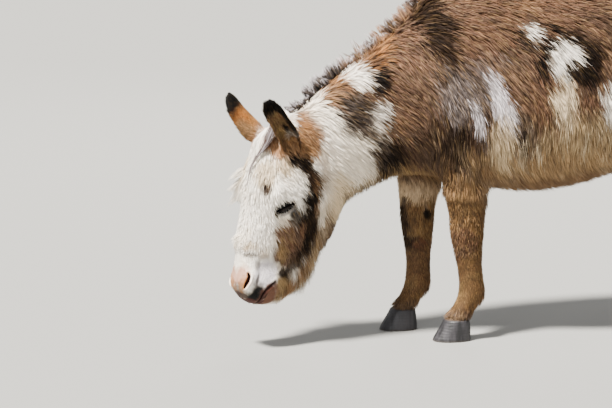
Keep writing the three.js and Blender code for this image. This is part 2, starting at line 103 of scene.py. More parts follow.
LEGS = ["foreleg_left", "foreleg_right", "hindleg_left", "hindleg_right"]
LEG_PARTS = [f"{leg}_{part}" for leg in LEGS for part in ("upper", "lower")]
FLESH = ["trunk", "neck", "head", "ear_left", "ear_right", "tail"] + LEG_PARTS
HOOVES = [f"hoof_{end}_{side}" for end in ("fore", "hind") for side in SIDES]
EYES = [f"eye_{side}" for side in SIDES]


# ---- Small tools -------------------------------------------------------------------------

def unit(v):
    return v / np.maximum(np.linalg.norm(v, axis=-1, keepdims=True), 1e-9)


def dot(a, b):
    return (a * b).sum(-1)


def smoothstep(low, high, x):
    t = np.clip((x - low) / (high - low), 0, 1)
    return t * t * (3 - 2 * t)


def window(low, full, fall, high, x):
    """Rises from 0 to 1 between low and full, and falls again between fall and high."""
    return smoothstep(low, full, x) * (1 - smoothstep(fall, high, x))


def mix(a, b, share):
    """From a to b. Colours and places, in threes, take a row of shares."""
    share = np.asarray(share)
    if share.ndim == 1 and (3,) in (np.shape(a)[-1:], np.shape(b)[-1:]):
        share = share[:, None]
    return a * (1 - share) + b * share


def of_kind(share, kind):
    """How much each point belongs to one kind of flesh."""
    return share[:, KINDS.index(kind)]


def per_kind(share, table):
    """A table's values for each kind of flesh, shared out over the points."""
    return share @ np.array([table[k] for k in KINDS])


def to_head(points):
    """Body frame to head shares."""
    return (points - POLL) @ HEAD_AXES.T / HEAD_LENGTH


def from_head(shares):
    return POLL + np.asarray(shares) @ HEAD_AXES * HEAD_LENGTH


def mirrored(shares, side):
    """A place or direction on the head's left, taken to the given side."""
    return np.asarray(shares) * np.array([1, 1, side])


def head_way(way, side):
    """A direction on the head's left, taken to the given side and to the body's frame."""
    return mirrored(way, side) @ HEAD_AXES


def lattice(i, j, k, seed):
    """A fixed random value from 0 to 1 at each whole-number point, from its mixed-up digits."""
    h = (i * 73856093) ^ (j * 19349663) ^ (k * 83492791) ^ (seed * 26544357)
    h = ((h & 0xFFFFFFFF) * 1274126177) & 0xFFFFFFFF
    h = ((h ^ (h >> 15)) * 2246822519) & 0xFFFFFFFF
    return ((h ^ (h >> 13)) & 0xFFFF) / 65535.0


NOISE_START, NOISE_STEP = 100.5, 17.3  # shifts that keep the noise's octaves apart


def noise(points, size, seed, octaves=3):
    """Smooth noise from about -1 to 1, its largest waves of the given size."""
    total, weight = np.zeros(len(points)), 0.0
    for octave in range(octaves):
        q = points / (size / 2**octave) + NOISE_START + NOISE_STEP * octave
        cell = np.floor(q).astype(np.int64)
        f = q - cell
        f = f * f * (3 - 2 * f)
        value = np.zeros(len(points))
        for corner in np.ndindex(2, 2, 2):
            share = np.where(corner, f, 1 - f).prod(1)
            value += share * lattice(*(cell + corner).T, seed + octave)
        total += (2 * value - 1) / 2**octave
        weight += 0.6 / 2**octave
    return total / weight


def mottled(colour, other, share, low, high, points, size, seed):
    """Mixes in another colour where smooth noise is high."""
    return mix(colour, other, share * smoothstep(low, high, noise(points, size, seed)))


def vectors(collection, name, width=3):
    values = np.empty(len(collection) * width, np.float32)
    collection.foreach_get(name, values)
    return values.reshape(-1, width).astype(float)


def new_object(name, data):
    obj = bpy.data.objects.new(name, data)
    bpy.context.scene.collection.objects.link(obj)
    return obj


def set_places(mesh, points):
    mesh.vertices.foreach_set("co", points.astype(np.float32).ravel())


def settle(mesh, points):
    """Takes the mesh from the body's frame to the part's, and shades it smoothly."""
    set_places(mesh, points + ORIGIN)
    mesh.polygons.foreach_set("use_smooth", np.ones(len(mesh.polygons), bool))
    mesh.update()


def mesh_from(name, points, loops, sizes):
    """A mesh from points in the body's frame, its loops in one row and its faces' sizes."""
    mesh = bpy.data.meshes.new(name)
    mesh.vertices.add(len(points))
    mesh.loops.add(len(loops))
    mesh.loops.foreach_set("vertex_index", loops.astype(np.int32))
    mesh.polygons.add(len(sizes))
    starts = np.concatenate([[0], np.cumsum(sizes)[:-1]])
    mesh.polygons.foreach_set("loop_start", starts.astype(np.int32))
    set_places(mesh, points + ORIGIN)
    mesh.polygons.foreach_set("use_smooth", np.ones(len(sizes), bool))
    mesh.update(calc_edges=True)
    return mesh


def ring_quads(rings, around, closed=False):
    """The faces between rings of vertices. closed joins the last ring to the first."""
    i, k = np.meshgrid(np.arange(rings if closed else rings - 1), np.arange(around), indexing="ij")
    at = lambda ring, step: ring % rings * around + step % around
    return np.stack([at(i, k), at(i + 1, k), at(i + 1, k + 1), at(i, k + 1)], -1).reshape(-1, 4)


def add_colour(mesh, colours):
    layer = mesh.color_attributes.new("coat", "FLOAT_COLOR", "POINT")
    rgba = np.ones((len(colours), 4), np.float32)
    rgba[:, :3] = colours
    layer.data.foreach_set("color", rgba.ravel())


def add_piece(name, mesh, slot, material, *nodes):
    """A piece of the donkey, which stands in for the given nodes."""
    obj = new_object(name, mesh)
    obj.data.materials.append(material)
    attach(obj, "root")
    if nodes:
        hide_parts(*nodes)


class Net:
    """A mesh's vertices and their neighbours."""

    def __init__(self, mesh):
        edges = np.empty(len(mesh.edges) * 2, np.int32)
        mesh.edges.foreach_get("vertices", edges)
        edges = edges.reshape(-1, 2)
        both = np.concatenate([edges, edges[:, ::-1]])
        order = np.argsort(both[:, 0], kind="stable")
        self.neighbours = both[order, 1]
        self.degree = np.bincount(both[:, 0], minlength=len(mesh.vertices))
        self.starts = np.concatenate([[0], np.cumsum(self.degree)[:-1]])

    def mean(self, values):
        total = np.add.reduceat(values[self.neighbours], self.starts, axis=0)
        return total / (self.degree if values.ndim == 1 else self.degree[:, None])

    def spread(self, values, times):
        for _ in range(times):
            values = 0.5 * (values + self.mean(values))
        return values

    def relaxed(self, points, amount):
        """Points smoothed as many times as amount says, vertex by vertex."""
        points = points.copy()
        for step in range(int(amount.max())):
            share = np.clip(amount - step, 0, 1)[:, None] * 0.5
            points += share * (self.mean(points) - points)
        return points


# ---- Skin --------------------------------------------------------------------------------

# Each kind of flesh: how often it is smoothed, and the depth of its coat in metres.
SMOOTHING = {"trunk": 150, "neck": 110, "head": 20, "ear": 6, "tail": 14,
             "foreleg_upper": 26, "foreleg_lower": 12, "hindleg_upper": 34, "hindleg_lower": 12}
DEPTH = {"trunk": 0.017, "neck": 0.015, "head": 0.0065, "ear": 0.0015, "tail": 0.009,
         "foreleg_upper": 0.007, "foreleg_lower": 0.004, "hindleg_upper": 0.008,
         "hindleg_lower": 0.004}
MUZZLE_DEPTH = 0.0022
KINDS = list(SMOOTHING)


def kind_of(node):
    if node.startswith("ear"):
        return "ear"
    if node.startswith("eye"):
        return "head"
    leg, _, part = node.rpartition("_")
    return f"{leg.split('_')[0]}_{part}" if leg.startswith(("fore", "hind")) else node


def node_mesh(node):
    """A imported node's vertices, in the body's frame, and its faces."""
    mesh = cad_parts[node].data
    points = [v.co - Vector(ORIGIN) for v in mesh.vertices]
    return points, [list(p.vertices) for p in mesh.polygons]


def flesh_nodes():
    """The vertices and faces of the nodes of flesh and the eyes, with each face's kind."""
    points, faces, kinds = [], [], []
    for node in FLESH + EYES:
        own_points, own_faces = node_mesh(node)
        faces += [[len(points) + i for i in face] for face in own_faces]
        points += own_points
        kinds += [KINDS.index(kind_of(node))] * len(own_faces)
    return points, faces, np.array(kinds)


def voxel_shell(points, faces, size):
    """One closed mesh round all the given faces."""
    mesh = bpy.data.meshes.new("shell")
    mesh.from_pydata(points, [], faces)
    obj = new_object("shell", mesh)
    modifier = obj.modifiers.new("voxels", "REMESH")
    modifier.mode = "VOXEL"
    modifier.voxel_size = size
    evaluated = obj.evaluated_get(bpy.context.evaluated_depsgraph_get())
    shell = bpy.data.meshes.new_from_object(evaluated)
    bpy.data.objects.remove(obj)
    return shell


def normals_of(mesh, points):
    set_places(mesh, points)
    mesh.update()
    return vectors(mesh.vertex_normals, "vector")


def raise_jaw(points, headness):
    """Lifts the jaw off the tips of the beard."""
    at, out, _ = to_head(points).T
    along_jaw = window(0.02, 0.16, 0.50, 0.90, at)
    lift = np.maximum(-0.30 - out, 0) * 0.48 * along_jaw * headness
    return points + (lift * HEAD_LENGTH)[:, None] * OUT


def refine(mesh, chosen):
    """Cuts each face whose vertices are all chosen in four."""
    bm = bmesh.new()
    bm.from_mesh(mesh)
    edges = [e for e in bm.edges if chosen[e.verts[0].index] and chosen[e.verts[1].index]]
    bmesh.ops.subdivide_edges(bm, edges=edges, cuts=1, use_grid_fill=True)
    bm.to_mesh(mesh)
    bm.free()
    return vectors(mesh.vertices, "co")


def eye_distance(points):
    """Distance from each point to the nearer eye's centre."""
    shares = to_head(points)
    away = [np.linalg.norm(shares - mirrored(EYE, side), axis=1) for side in SIDES.values()]
    return np.minimum(*away) * HEAD_LENGTH


def near_features(points):
    """The part of the head that needs a finer mesh: round the eyes, and the muzzle."""
    at, out, _ = to_head(points).T
    return (at > 0.84) & (out > -0.22) | (eye_distance(points) < 0.036)


def base_skin():
    """The skin's mesh, its points, and how much each belongs to each kind of flesh."""
    points, faces, kinds = flesh_nodes()
    mesh = voxel_shell(points, faces, VOXEL)
    tree = BVHTree.FromPolygons(points, faces)
    points = vectors(mesh.vertices, "co")
    kind = kinds[[tree.find_nearest(p)[2] for p in points]]
    net = Net(mesh)
    share = net.spread(np.eye(len(KINDS))[kind], 14)
    points = net.relaxed(points, per_kind(share, SMOOTHING))
    points = net.relaxed(points, 60 * (1 - smoothstep(0.030, 0.042, eye_distance(points))))
    share = net.spread(share, 20)
    headness = of_kind(share, "head")
    points = raise_jaw(points, headness)
    at = to_head(points)[:, 0]
    depth = mix(per_kind(share, DEPTH), MUZZLE_DEPTH, smoothstep(0.74, 0.9, at) * headness)
    depth = depth * (0.1 + 0.9 * smoothstep(0.066, 0.085, points[:, 2]))
    points -= depth[:, None] * normals_of(mesh, points)
    points = net.relaxed(points, 4 * (1 - of_kind(share, "ear")))
    return mesh, points, share


def with_finer_head(mesh, points, share):
    """The skin with a finer head, and finer still at its eyes and muzzle."""
    names = [f"share_{k}" for k in KINDS]
    for name, values in zip(names, share.T):
        mesh.attributes.new(name, "FLOAT", "POINT").data.foreach_set("value", values)
    set_places(mesh, points)
    points = refine(mesh, of_kind(share, "head") > 0.5)
    points = refine(mesh, near_features(points))
    share = np.array([vectors(mesh.attributes[n].data, "value", 1)[:, 0] for n in names]).T
    for name in names:
        mesh.attributes.remove(mesh.attributes[name])
    points = Net(mesh).relaxed(points, 6 * of_kind(share, "head"))
    return mesh, points, share


# Soft bumps and hollows on both sides of the head, made one after the other: place, radii
# along, out and left, height in metres, and direction.
SWELLINGS = [
    # socket of the eye, brow, and the hollows over and under it
    ((0.440, -0.066, 0.175), (0.100, 0.085, 0.08), 0.006, (0, 0.3, 0.9)),
    ((0.365, 0.000, 0.160), (0.060, 0.045, 0.06), 0.006, (-0.3, 0.4, 0.8)),
    ((0.285, -0.03, 0.17), (0.05, 0.05, 0.06), -0.005, (0, 0.3, 0.9)),
    ((0.545, -0.10, 0.15), (0.07, 0.05, 0.06), -0.005, (0, 0.3, 0.9)),
    # cheek bone, cheek, and the hollow in front of them
    ((0.585, -0.21, 0.13), (0.09, 0.035, 0.05), 0.005, (0, -0.1, 1.0)),
    ((0.27, -0.30, 0.17), (0.15, 0.11, 0.08), 0.005, (0, -0.1, 1.0)),
    ((0.80, -0.10, 0.11), (0.05, 0.06, 0.05), -0.004, (0, 0.1, 1.0)),
    # wing of the nostril, the hollow behind it, and the upper lip
    ((0.900, -0.020, 0.085), (0.060, 0.040, 0.035), 0.0065, (0, 0.35, 0.9)),
    ((0.880, -0.072, 0.115), (0.060, 0.018, 0.03), -0.0030, (0, 0, 1.0)),
    ((0.970, -0.085, 0.060), (0.040, 0.045, 0.05), 0.004, (0.6, 0.2, 0.6)),
]


def swell(points, place, radii, height, direction):
    """Raises one soft bump on both sides of the head."""
    shares = to_head(points)
    for side in SIDES.values():
        d = (shares - mirrored(place, side)) / np.array(radii)
        weight = np.exp(-dot(d, d))
        points = points + (height * weight)[:, None] * head_way(direction, side)
    return points


def stretches(line):
    """The lengths of a line's stretches, and the line's length before each of its places."""
    lengths = np.linalg.norm(np.diff(line, axis=0), axis=1)
    return lengths, np.concatenate([[0], np.cumsum(lengths)])


def distance_to_line(points, line):
    """Distance from each point to a line through several places, and the share along it.

    Points too far off to matter get a great distance."""
    best = np.full(len(points), 1e9)
    share = np.zeros(len(points))
    lengths, before = stretches(line)
    close = np.linalg.norm(points - line.mean(0), axis=1) < before[-1] + 0.03
    near = points[close]
    least, along = best[close], share[close]
    for a, b, start, length in zip(line, line[1:], before, lengths):
        t = np.clip((near - a) @ (b - a) / length**2, 0, 1)
        d = np.linalg.norm(near - a - t[:, None] * (b - a), axis=1)
        nearer = d < least
        least[nearer] = d[nearer]
        along[nearer] = (start + t[nearer] * length) / before[-1]
    best[close], share[close] = least, along
    return best, share


def laid(line, points, normals):
    """A line on one side of the head, resampled and laid on the skin."""
    before = stretches(line)[1]
    at = np.linspace(0, before[-1], LINE_PLACES)
    places = np.stack([np.interp(at, before, line[:, i]) for i in range(3)], 1)
    for i, place in enumerate(places):
        nearest = np.linalg.norm(points - place, axis=1).argmin()
        normal = normals[nearest]
        places[i] += normal * ((points[nearest] - place) @ normal)
    return places


def lay_lines(mesh, points):
    normals = normals_of(mesh, points)
    muzzle = to_head(points)[:, 0] > 0.78
    for side in SIDES.values():
        for lines, shares in ((nostril_line, NOSTRIL), (mouth_line, MOUTH)):
            line = from_head([mirrored(p, side) for p in shares])
            lines[side] = laid(line, points[muzzle], normals[muzzle])


def nostril_way(side):
    """The way out of the nostril."""
    return unit(head_way(NOSTRIL_WAY, side))


def nostril_distance(points, side):
    """Distance from the nostril's line, measured square to its way out, and the share along it."""
    way = nostril_way(side)
    line = nostril_line[side]
    middle = line.mean(0)
    depth = (points - middle) @ way
    flat = points - depth[:, None] * way
    away, share = distance_to_line(flat, line - ((line - middle) @ way)[:, None] * way)
    return np.where(np.abs(depth) < 0.03, away, 1.0), share


def nostril_half(share):
    """Half the nostril's width at a share of its length."""
    return 0.0016 + 0.0030 * np.sin(np.pi * np.clip(share, 0, 1)) ** 0.8


def behind_nostril(points, side, soft):
    """1 behind the nostril's middle and 0 in front of it."""
    back = unit(head_way(NOSTRIL_BACK, side))
    return smoothstep(-soft, soft, (points - nostril_line[side][LINE_PLACES // 2]) @ back)


def lips_way(left, side):
    """The way the lips face, from the middle to the corner of the mouth."""
    corner = unit(head_way((0.45, 0.0, 0.75), side))
    return mix(ALONG[None], corner[None], smoothstep(0.0, 0.05, left * side))


def mouth_distance(points, side, depth=0.0):
    """Distance from the line between the lips, or from one as far behind it as depth."""
    line = mouth_line[side]
    line = line - lips_way(to_head(line)[:, 2], side) * depth
    return distance_to_line(points, line)[0]


def eye_frame(side):
    """Centre of an eye, and its axes: towards the front corner, up the lid, and outwards."""
    centre = from_head(mirrored(EYE, side))
    gaze = unit(head_way(GAZE, side))
    front = head_way(SLIT, side)
    front = unit(front - gaze * (front @ gaze))
    brow = unit(np.cross(gaze, front))
    if brow @ UP < 0:
        brow = -brow
    return centre, np.array([front, brow, gaze])


def lid_angles(points, side):
    """Places seen from an eye: in its axes, their distance, their angles to the front and up.

    The last value is the share of the lids' greatest opening at each place."""
    centre, axes = eye_frame(side)
    local = (points - centre) @ axes.T
    reach = np.linalg.norm(local, axis=1)
    across = np.arctan2(local[:, 0], local[:, 2])
    rise = np.arctan2(local[:, 1], np.hypot(local[:, 0], local[:, 2]))
    open_share = np.maximum(1 - (across / SLIT_WIDE) ** 2, 0)
    return local, reach, across, rise, open_share


def shape_lids(points, side):
    """Lays the skin over the eyeball as lids, with an opening between them."""
    local, reach, _, rise, open_share = lid_angles(points, side)
    centre, axes = eye_frame(side)
    near = (local[:, 2] > LID_BACK) & (reach < 0.036)
    opening = (rise < UPPER_LID * open_share) & (rise > -LOWER_LID * open_share)
    opening &= (open_share > 0) & near
    side_reach = np.hypot(local[:, 0], local[:, 1])
    lid = EYE_RADIUS + 0.0024 + 0.0012 * smoothstep(0, 0.25, np.abs(rise))
    weight = (1 - smoothstep(0.018, 0.029, side_reach)) * (near & ~opening)
    moved = local * (1 + weight * (lid / np.maximum(reach, 1e-6) - 1))[:, None]
    inside = EYE_RADIUS - 0.005
    moved = np.where(opening[:, None], local / reach[:, None] * inside, moved)
    return np.where(near[:, None], centre + moved @ axes, points)


def sculpt_face(mesh, points):
    """Folds and forms of the face, under the short coat."""
    for swelling in SWELLINGS:
        points = swell(points, *swelling)
    lay_lines(mesh, points)
    for side in SIDES.values():
        away, share = nostril_distance(points, side)
        half = nostril_half(share)
        hole = 1 - smoothstep(0.55, 1.30, away / half)
        rim = np.exp(-(((away - half - 0.0042) / 0.0034) ** 2))
        lift = mix(0.0006, 0.0034, behind_nostril(points, side, 0.003)) * rim
        points = points + (lift - 0.017 * hole)[:, None] * nostril_way(side)
        away = mouth_distance(points, side)
        left = to_head(points)[:, 2]
        own_side = smoothstep(-0.012, 0.0, left * side)
        groove = np.exp(-((away / 0.0021) ** 2))
        swollen = np.exp(-(((away - 0.0080) / 0.0050) ** 2))
        lift = (0.0016 * swollen - MOUTH_DEPTH * groove) * own_side
        points = points + lift[:, None] * lips_way(left, side)
    return points


EAR_LENGTH = 0.176
EAR_FOOT = np.array([0.108, -0.066, 0.128])
EAR_WAY = unit(np.array([-0.50, 0.87, 0.30]))
EAR_OPENING = np.array([0.50, 0.30, 0.90])
EAR_OPENING = unit(EAR_OPENING - EAR_WAY * (EAR_WAY @ EAR_OPENING))
EAR_ACROSS = np.cross(EAR_WAY, EAR_OPENING)  # from the rear rim to the front one


def head_side(points):
    """1 on the head's left and -1 on its right."""
    return np.where(to_head(points)[:, 2] < 0, -1, 1)


def ear_place(points):
    """Each point's share along its ear, and its distances across it and into its opening."""
    shares = to_head(points)
    shares[:, 2] = np.abs(shares[:, 2])
    offset = (shares - EAR_FOOT) * HEAD_LENGTH
    return offset @ EAR_WAY / EAR_LENGTH, offset @ EAR_ACROSS, offset @ EAR_OPENING


def facing_opening(points, normals):
    """How far the surface of an ear faces the way the ear opens."""
    own = normals @ HEAD_AXES.T
    own[:, 2] *= head_side(points)
    return dot(own, EAR_OPENING)


def blunt_ears(points, earness):
    """Widens the ears towards their tips, and draws in the left ear's front rim."""
    along, across, _ = ear_place(points)
    side = head_side(points)
    wider = 0.30 * smoothstep(0.60, 0.92, along)
    wider = wider - 0.36 * (across > 0) * (side > 0) * smoothstep(-0.1, 0.15, along)
    way = np.tile(EAR_ACROSS, (len(points), 1))
    way[:, 2] *= side
    return points + (across * wider * earness)[:, None] * (way @ HEAD_AXES)


def build_skin():
    mesh, points, share = with_finer_head(*base_skin())
    points = blunt_ears(points, of_kind(share, "ear"))
    points = sculpt_face(mesh, points)
    points = Net(mesh).relaxed(points, 1.0 * near_features(points))
    for side in SIDES.values():
        points = shape_lids(points, side)
    return mesh, points, normals_of(mesh, points), share


# ---- Markings ----------------------------------------------------------------------------

def paint(red, green, blue):
    """A colour given as 0 to 255 on a screen, as linear light."""
    c = np.array([red, green, blue]) / 255
    return np.where(c <= 0.04045, c / 12.92, ((c + 0.055) / 1.055) ** 2.4)


WHITE = paint(252, 244, 232)
CREAM = paint(224, 202, 168)
STRAW = paint(143, 115, 73)
TAN = paint(128, 92, 60)
BROWN = paint(86, 57, 39)
UMBER = paint(38, 26, 18)
BLACK = paint(18, 14, 12)
INK = paint(5, 4, 4)
GREY = paint(80, 71, 67)
LILAC = paint(218, 210, 214)
CHESTNUT = paint(92, 56, 34)
ORANGE = paint(150, 93, 32)
PINK = paint(186, 128, 102)
LIP_RED = paint(62, 26, 20)
# the legs' tan, darkened as painted shade under the body
SHADED_LEG_TAN = paint(104, 76, 44)
FROST = paint(176, 154, 138)
NOSTRIL_DARK = paint(40, 14, 10)
LID_GREY = paint(112, 108, 106)
EAR_ORANGE = ORANGE * [0.82, 0.70, 0.50]
RUSSET = mix(ORANGE, TAN, 0.5)
PALE_STRAW = mix(CREAM, STRAW, 0.4)
BRIGHTNESS = [0.2, 0.7, 0.1]  # how much red, green and blue add to a colour's brightness

# The side that a patch is on: 0 is both, and otherwise the sign of y
BOTH = 0
LEFT_SIDE = -1
RIGHT_SIDE = 1
# Each patch's ragged edge is noise with the first seed here plus the patch's place in its table
BODY_SEED, HEAD_SEED, LEG_SEED = 20, 80, 160

# Patches of the trunk and neck, painted one over the other: side, place (x, z), half sizes,
# tilt in degrees, colour and strength.
BODY_MARKS = [
    # neck
    (BOTH, (-0.37, 0.56), (0.16, 0.13), 0, mix(WHITE, CREAM, 0.3), 1.0),
    (BOTH, (-0.31, 0.44), (0.12, 0.10), 0, CREAM, 1.0),
    (LEFT_SIDE, (-0.322, 0.684), (0.060, 0.040), 30, mix(ORANGE, TAN, 0.6), 0.95),
    (BOTH, (-0.420, 0.582), (0.030, 0.020), 0, mix(ORANGE, TAN, 0.6), 0.5),
    (BOTH, (-0.396, 0.557), (0.038, 0.044), 10, RUSSET, 0.95),
    (LEFT_SIDE, (-0.288, 0.622), (0.044, 0.054), 0, mix(BLACK, GREY, 0.3), 1.0),
    (LEFT_SIDE, (-0.282, 0.728), (0.062, 0.028), -38, WHITE, 1.0),
    (LEFT_SIDE, (-0.240, 0.566), (0.040, 0.026), -30, UMBER, 0.90),
    (LEFT_SIDE, (-0.214, 0.634), (0.018, 0.028), -20, mix(WHITE, GREY, 0.35), 0.75),
    (LEFT_SIDE, (-0.236, 0.684), (0.042, 0.013), 45, UMBER, 0.65),
    (LEFT_SIDE, (-0.292, 0.512), (0.082, 0.064), 0, mix(WHITE, CREAM, 0.4), 1.0),
    (LEFT_SIDE, (-0.190, 0.505), (0.052, 0.090), 12, UMBER, 0.97),
    (LEFT_SIDE, (-0.178, 0.500), (0.030, 0.065), 14, BLACK, 0.9),
    (LEFT_SIDE, (-0.206, 0.720), (0.030, 0.038), 0, BLACK, 1.0),
    (BOTH, (-0.222, 0.782), (0.060, 0.034), 40, ORANGE * 0.85, 0.95),
    # shoulder
    (LEFT_SIDE, (-0.068, 0.845), (0.044, 0.130), 12, UMBER * 0.75, 1.0),
    (LEFT_SIDE, (-0.040, 0.570), (0.100, 0.090), 15, UMBER, 0.78),
    (LEFT_SIDE, (0.010, 0.530), (0.050, 0.085), 18, BLACK, 0.55),
    (LEFT_SIDE, (0.020, 0.700), (0.085, 0.075), 20, mix(GREY, LILAC, 0.14), 0.75),
    (LEFT_SIDE, (-0.110, 0.445), (0.080, 0.045), 0, STRAW, 0.9),
    # lower side and belly
    (BOTH, (0.34, 0.500), (0.32, 0.125), 0, mix(CREAM, STRAW, 0.75), 0.85),
    (BOTH, (0.22, 0.500), (0.20, 0.060), 0, mix(STRAW, TAN, 0.5), 0.65),
    # painted shade: the belly's edge darkened, and the legs' shaded tan between the forelegs
    (BOTH, (0.30, 0.434), (0.30, 0.044), 0, TAN * 0.55, 0.85),
    (BOTH, (0.012, 0.430), (0.075, 0.060), 0, SHADED_LEG_TAN, 0.95),
    (LEFT_SIDE, (-0.240, 0.432), (0.060, 0.026), 20, UMBER, 0.6),
    (BOTH, (0.60, 0.560), (0.16, 0.120), 0, CREAM, 0.8),
    # side
    (LEFT_SIDE, (0.050, 0.680), (0.026, 0.100), 25, UMBER, 0.6),
    (LEFT_SIDE, (0.100, 0.650), (0.026, 0.082), 20, LILAC, 0.95),
    (LEFT_SIDE, (0.040, 0.630), (0.012, 0.066), 24, LILAC, 0.75),
    (LEFT_SIDE, (0.114, 0.560), (0.036, 0.070), 8, PALE_STRAW, 0.8),
    (LEFT_SIDE, (0.195, 0.680), (0.040, 0.080), 15, BROWN, 0.85),
    (LEFT_SIDE, (0.172, 0.568), (0.036, 0.060), 8, mix(UMBER, GREY, 0.25), 0.90),
    (LEFT_SIDE, (0.162, 0.572), (0.014, 0.046), 8, BLACK, 0.85),
    (LEFT_SIDE, (0.148, 0.822), (0.018, 0.022), 30, BLACK, 1.0),
    (LEFT_SIDE, (0.222, 0.856), (0.034, 0.012), -10, BLACK, 1.0),
    (LEFT_SIDE, (0.182, 0.836), (0.024, 0.019), 40, WHITE, 0.95),
    (LEFT_SIDE, (0.300, 0.775), (0.080, 0.070), -35, UMBER, 1.0),
    (LEFT_SIDE, (0.262, 0.768), (0.032, 0.044), -20, mix(WHITE, GREY, 0.1), 1.0),
    (LEFT_SIDE, (0.204, 0.774), (0.025, 0.058), -20, BLACK, 1.0),
    (LEFT_SIDE, (0.250, 0.822), (0.036, 0.013), 25, BLACK, 1.0),
    (LEFT_SIDE, (0.302, 0.822), (0.032, 0.014), -30, BLACK, 1.0),
    (LEFT_SIDE, (0.334, 0.764), (0.024, 0.056), -5, BLACK, 1.0),
    (LEFT_SIDE, (0.284, 0.752), (0.013, 0.020), 0, BLACK, 0.92),
    (LEFT_SIDE, (0.292, 0.744), (0.042, 0.024), 0, BLACK, 1.0),
    (LEFT_SIDE, (0.266, 0.672), (0.030, 0.060), 12, CREAM, 0.9),
    (LEFT_SIDE, (0.335, 0.662), (0.044, 0.036), 0, BROWN, 0.8),
    (LEFT_SIDE, (0.400, 0.850), (0.060, 0.040), -20, UMBER, 0.7),
    # flank and rump
    (LEFT_SIDE, (0.430, 0.660), (0.050, 0.080), 10, WHITE, 0.8),
    (LEFT_SIDE, (0.520, 0.760), (0.055, 0.045), 0, BLACK, 0.6),
    (LEFT_SIDE, (0.560, 0.740), (0.050, 0.075), -20, WHITE, 0.9),
    (LEFT_SIDE, (0.690, 0.830), (0.050, 0.070), 0, UMBER, 0.7),
    (LEFT_SIDE, (0.660, 0.640), (0.060, 0.080), 0, TAN, 0.8),
    (LEFT_SIDE, (0.740, 0.700), (0.035, 0.060), 10, WHITE, 0.8),
    # right side
    (RIGHT_SIDE, (-0.250, 0.640), (0.050, 0.070), 20, UMBER, 1.0),
    (RIGHT_SIDE, (-0.185, 0.500), (0.060, 0.070), 0, WHITE, 0.9),
    (RIGHT_SIDE, (-0.068, 0.845), (0.036, 0.120), 12, UMBER, 1.0),
    (RIGHT_SIDE, (-0.060, 0.640), (0.055, 0.085), -15, BLACK, 0.75),
    (RIGHT_SIDE, (0.050, 0.700), (0.075, 0.100), 20, WHITE, 0.95),
    (RIGHT_SIDE, (0.020, 0.760), (0.030, 0.030), 0, BLACK, 0.7),
    (RIGHT_SIDE, (0.210, 0.620), (0.050, 0.080), 10, UMBER, 1.0),
    (RIGHT_SIDE, (0.250, 0.790), (0.060, 0.045), -20, BLACK, 1.0),
    (RIGHT_SIDE, (0.300, 0.750), (0.060, 0.060), 0, WHITE, 0.95),
    (RIGHT_SIDE, (0.450, 0.700), (0.060, 0.070), 10, UMBER, 0.7),
    (RIGHT_SIDE, (0.560, 0.800), (0.045, 0.060), 20, WHITE, 0.85),
    (RIGHT_SIDE, (0.680, 0.700), (0.060, 0.090), 0, TAN, 0.8),
    (RIGHT_SIDE, (0.092, 0.620), (0.026, 0.070), 12, WHITE, 0.9),
    (RIGHT_SIDE, (-0.020, 0.720), (0.030, 0.060), -20, BLACK, 0.8),
    (RIGHT_SIDE, (0.345, 0.705), (0.024, 0.060), 24, CREAM, 0.9),
    (RIGHT_SIDE, (0.262, 0.752), (0.018, 0.046), 20, BLACK, 0.9),
    (RIGHT_SIDE, (0.530, 0.735), (0.024, 0.060), -16, CREAM, 0.8),
    (RIGHT_SIDE, (0.600, 0.820), (0.030, 0.034), 0, UMBER, 0.8),
]

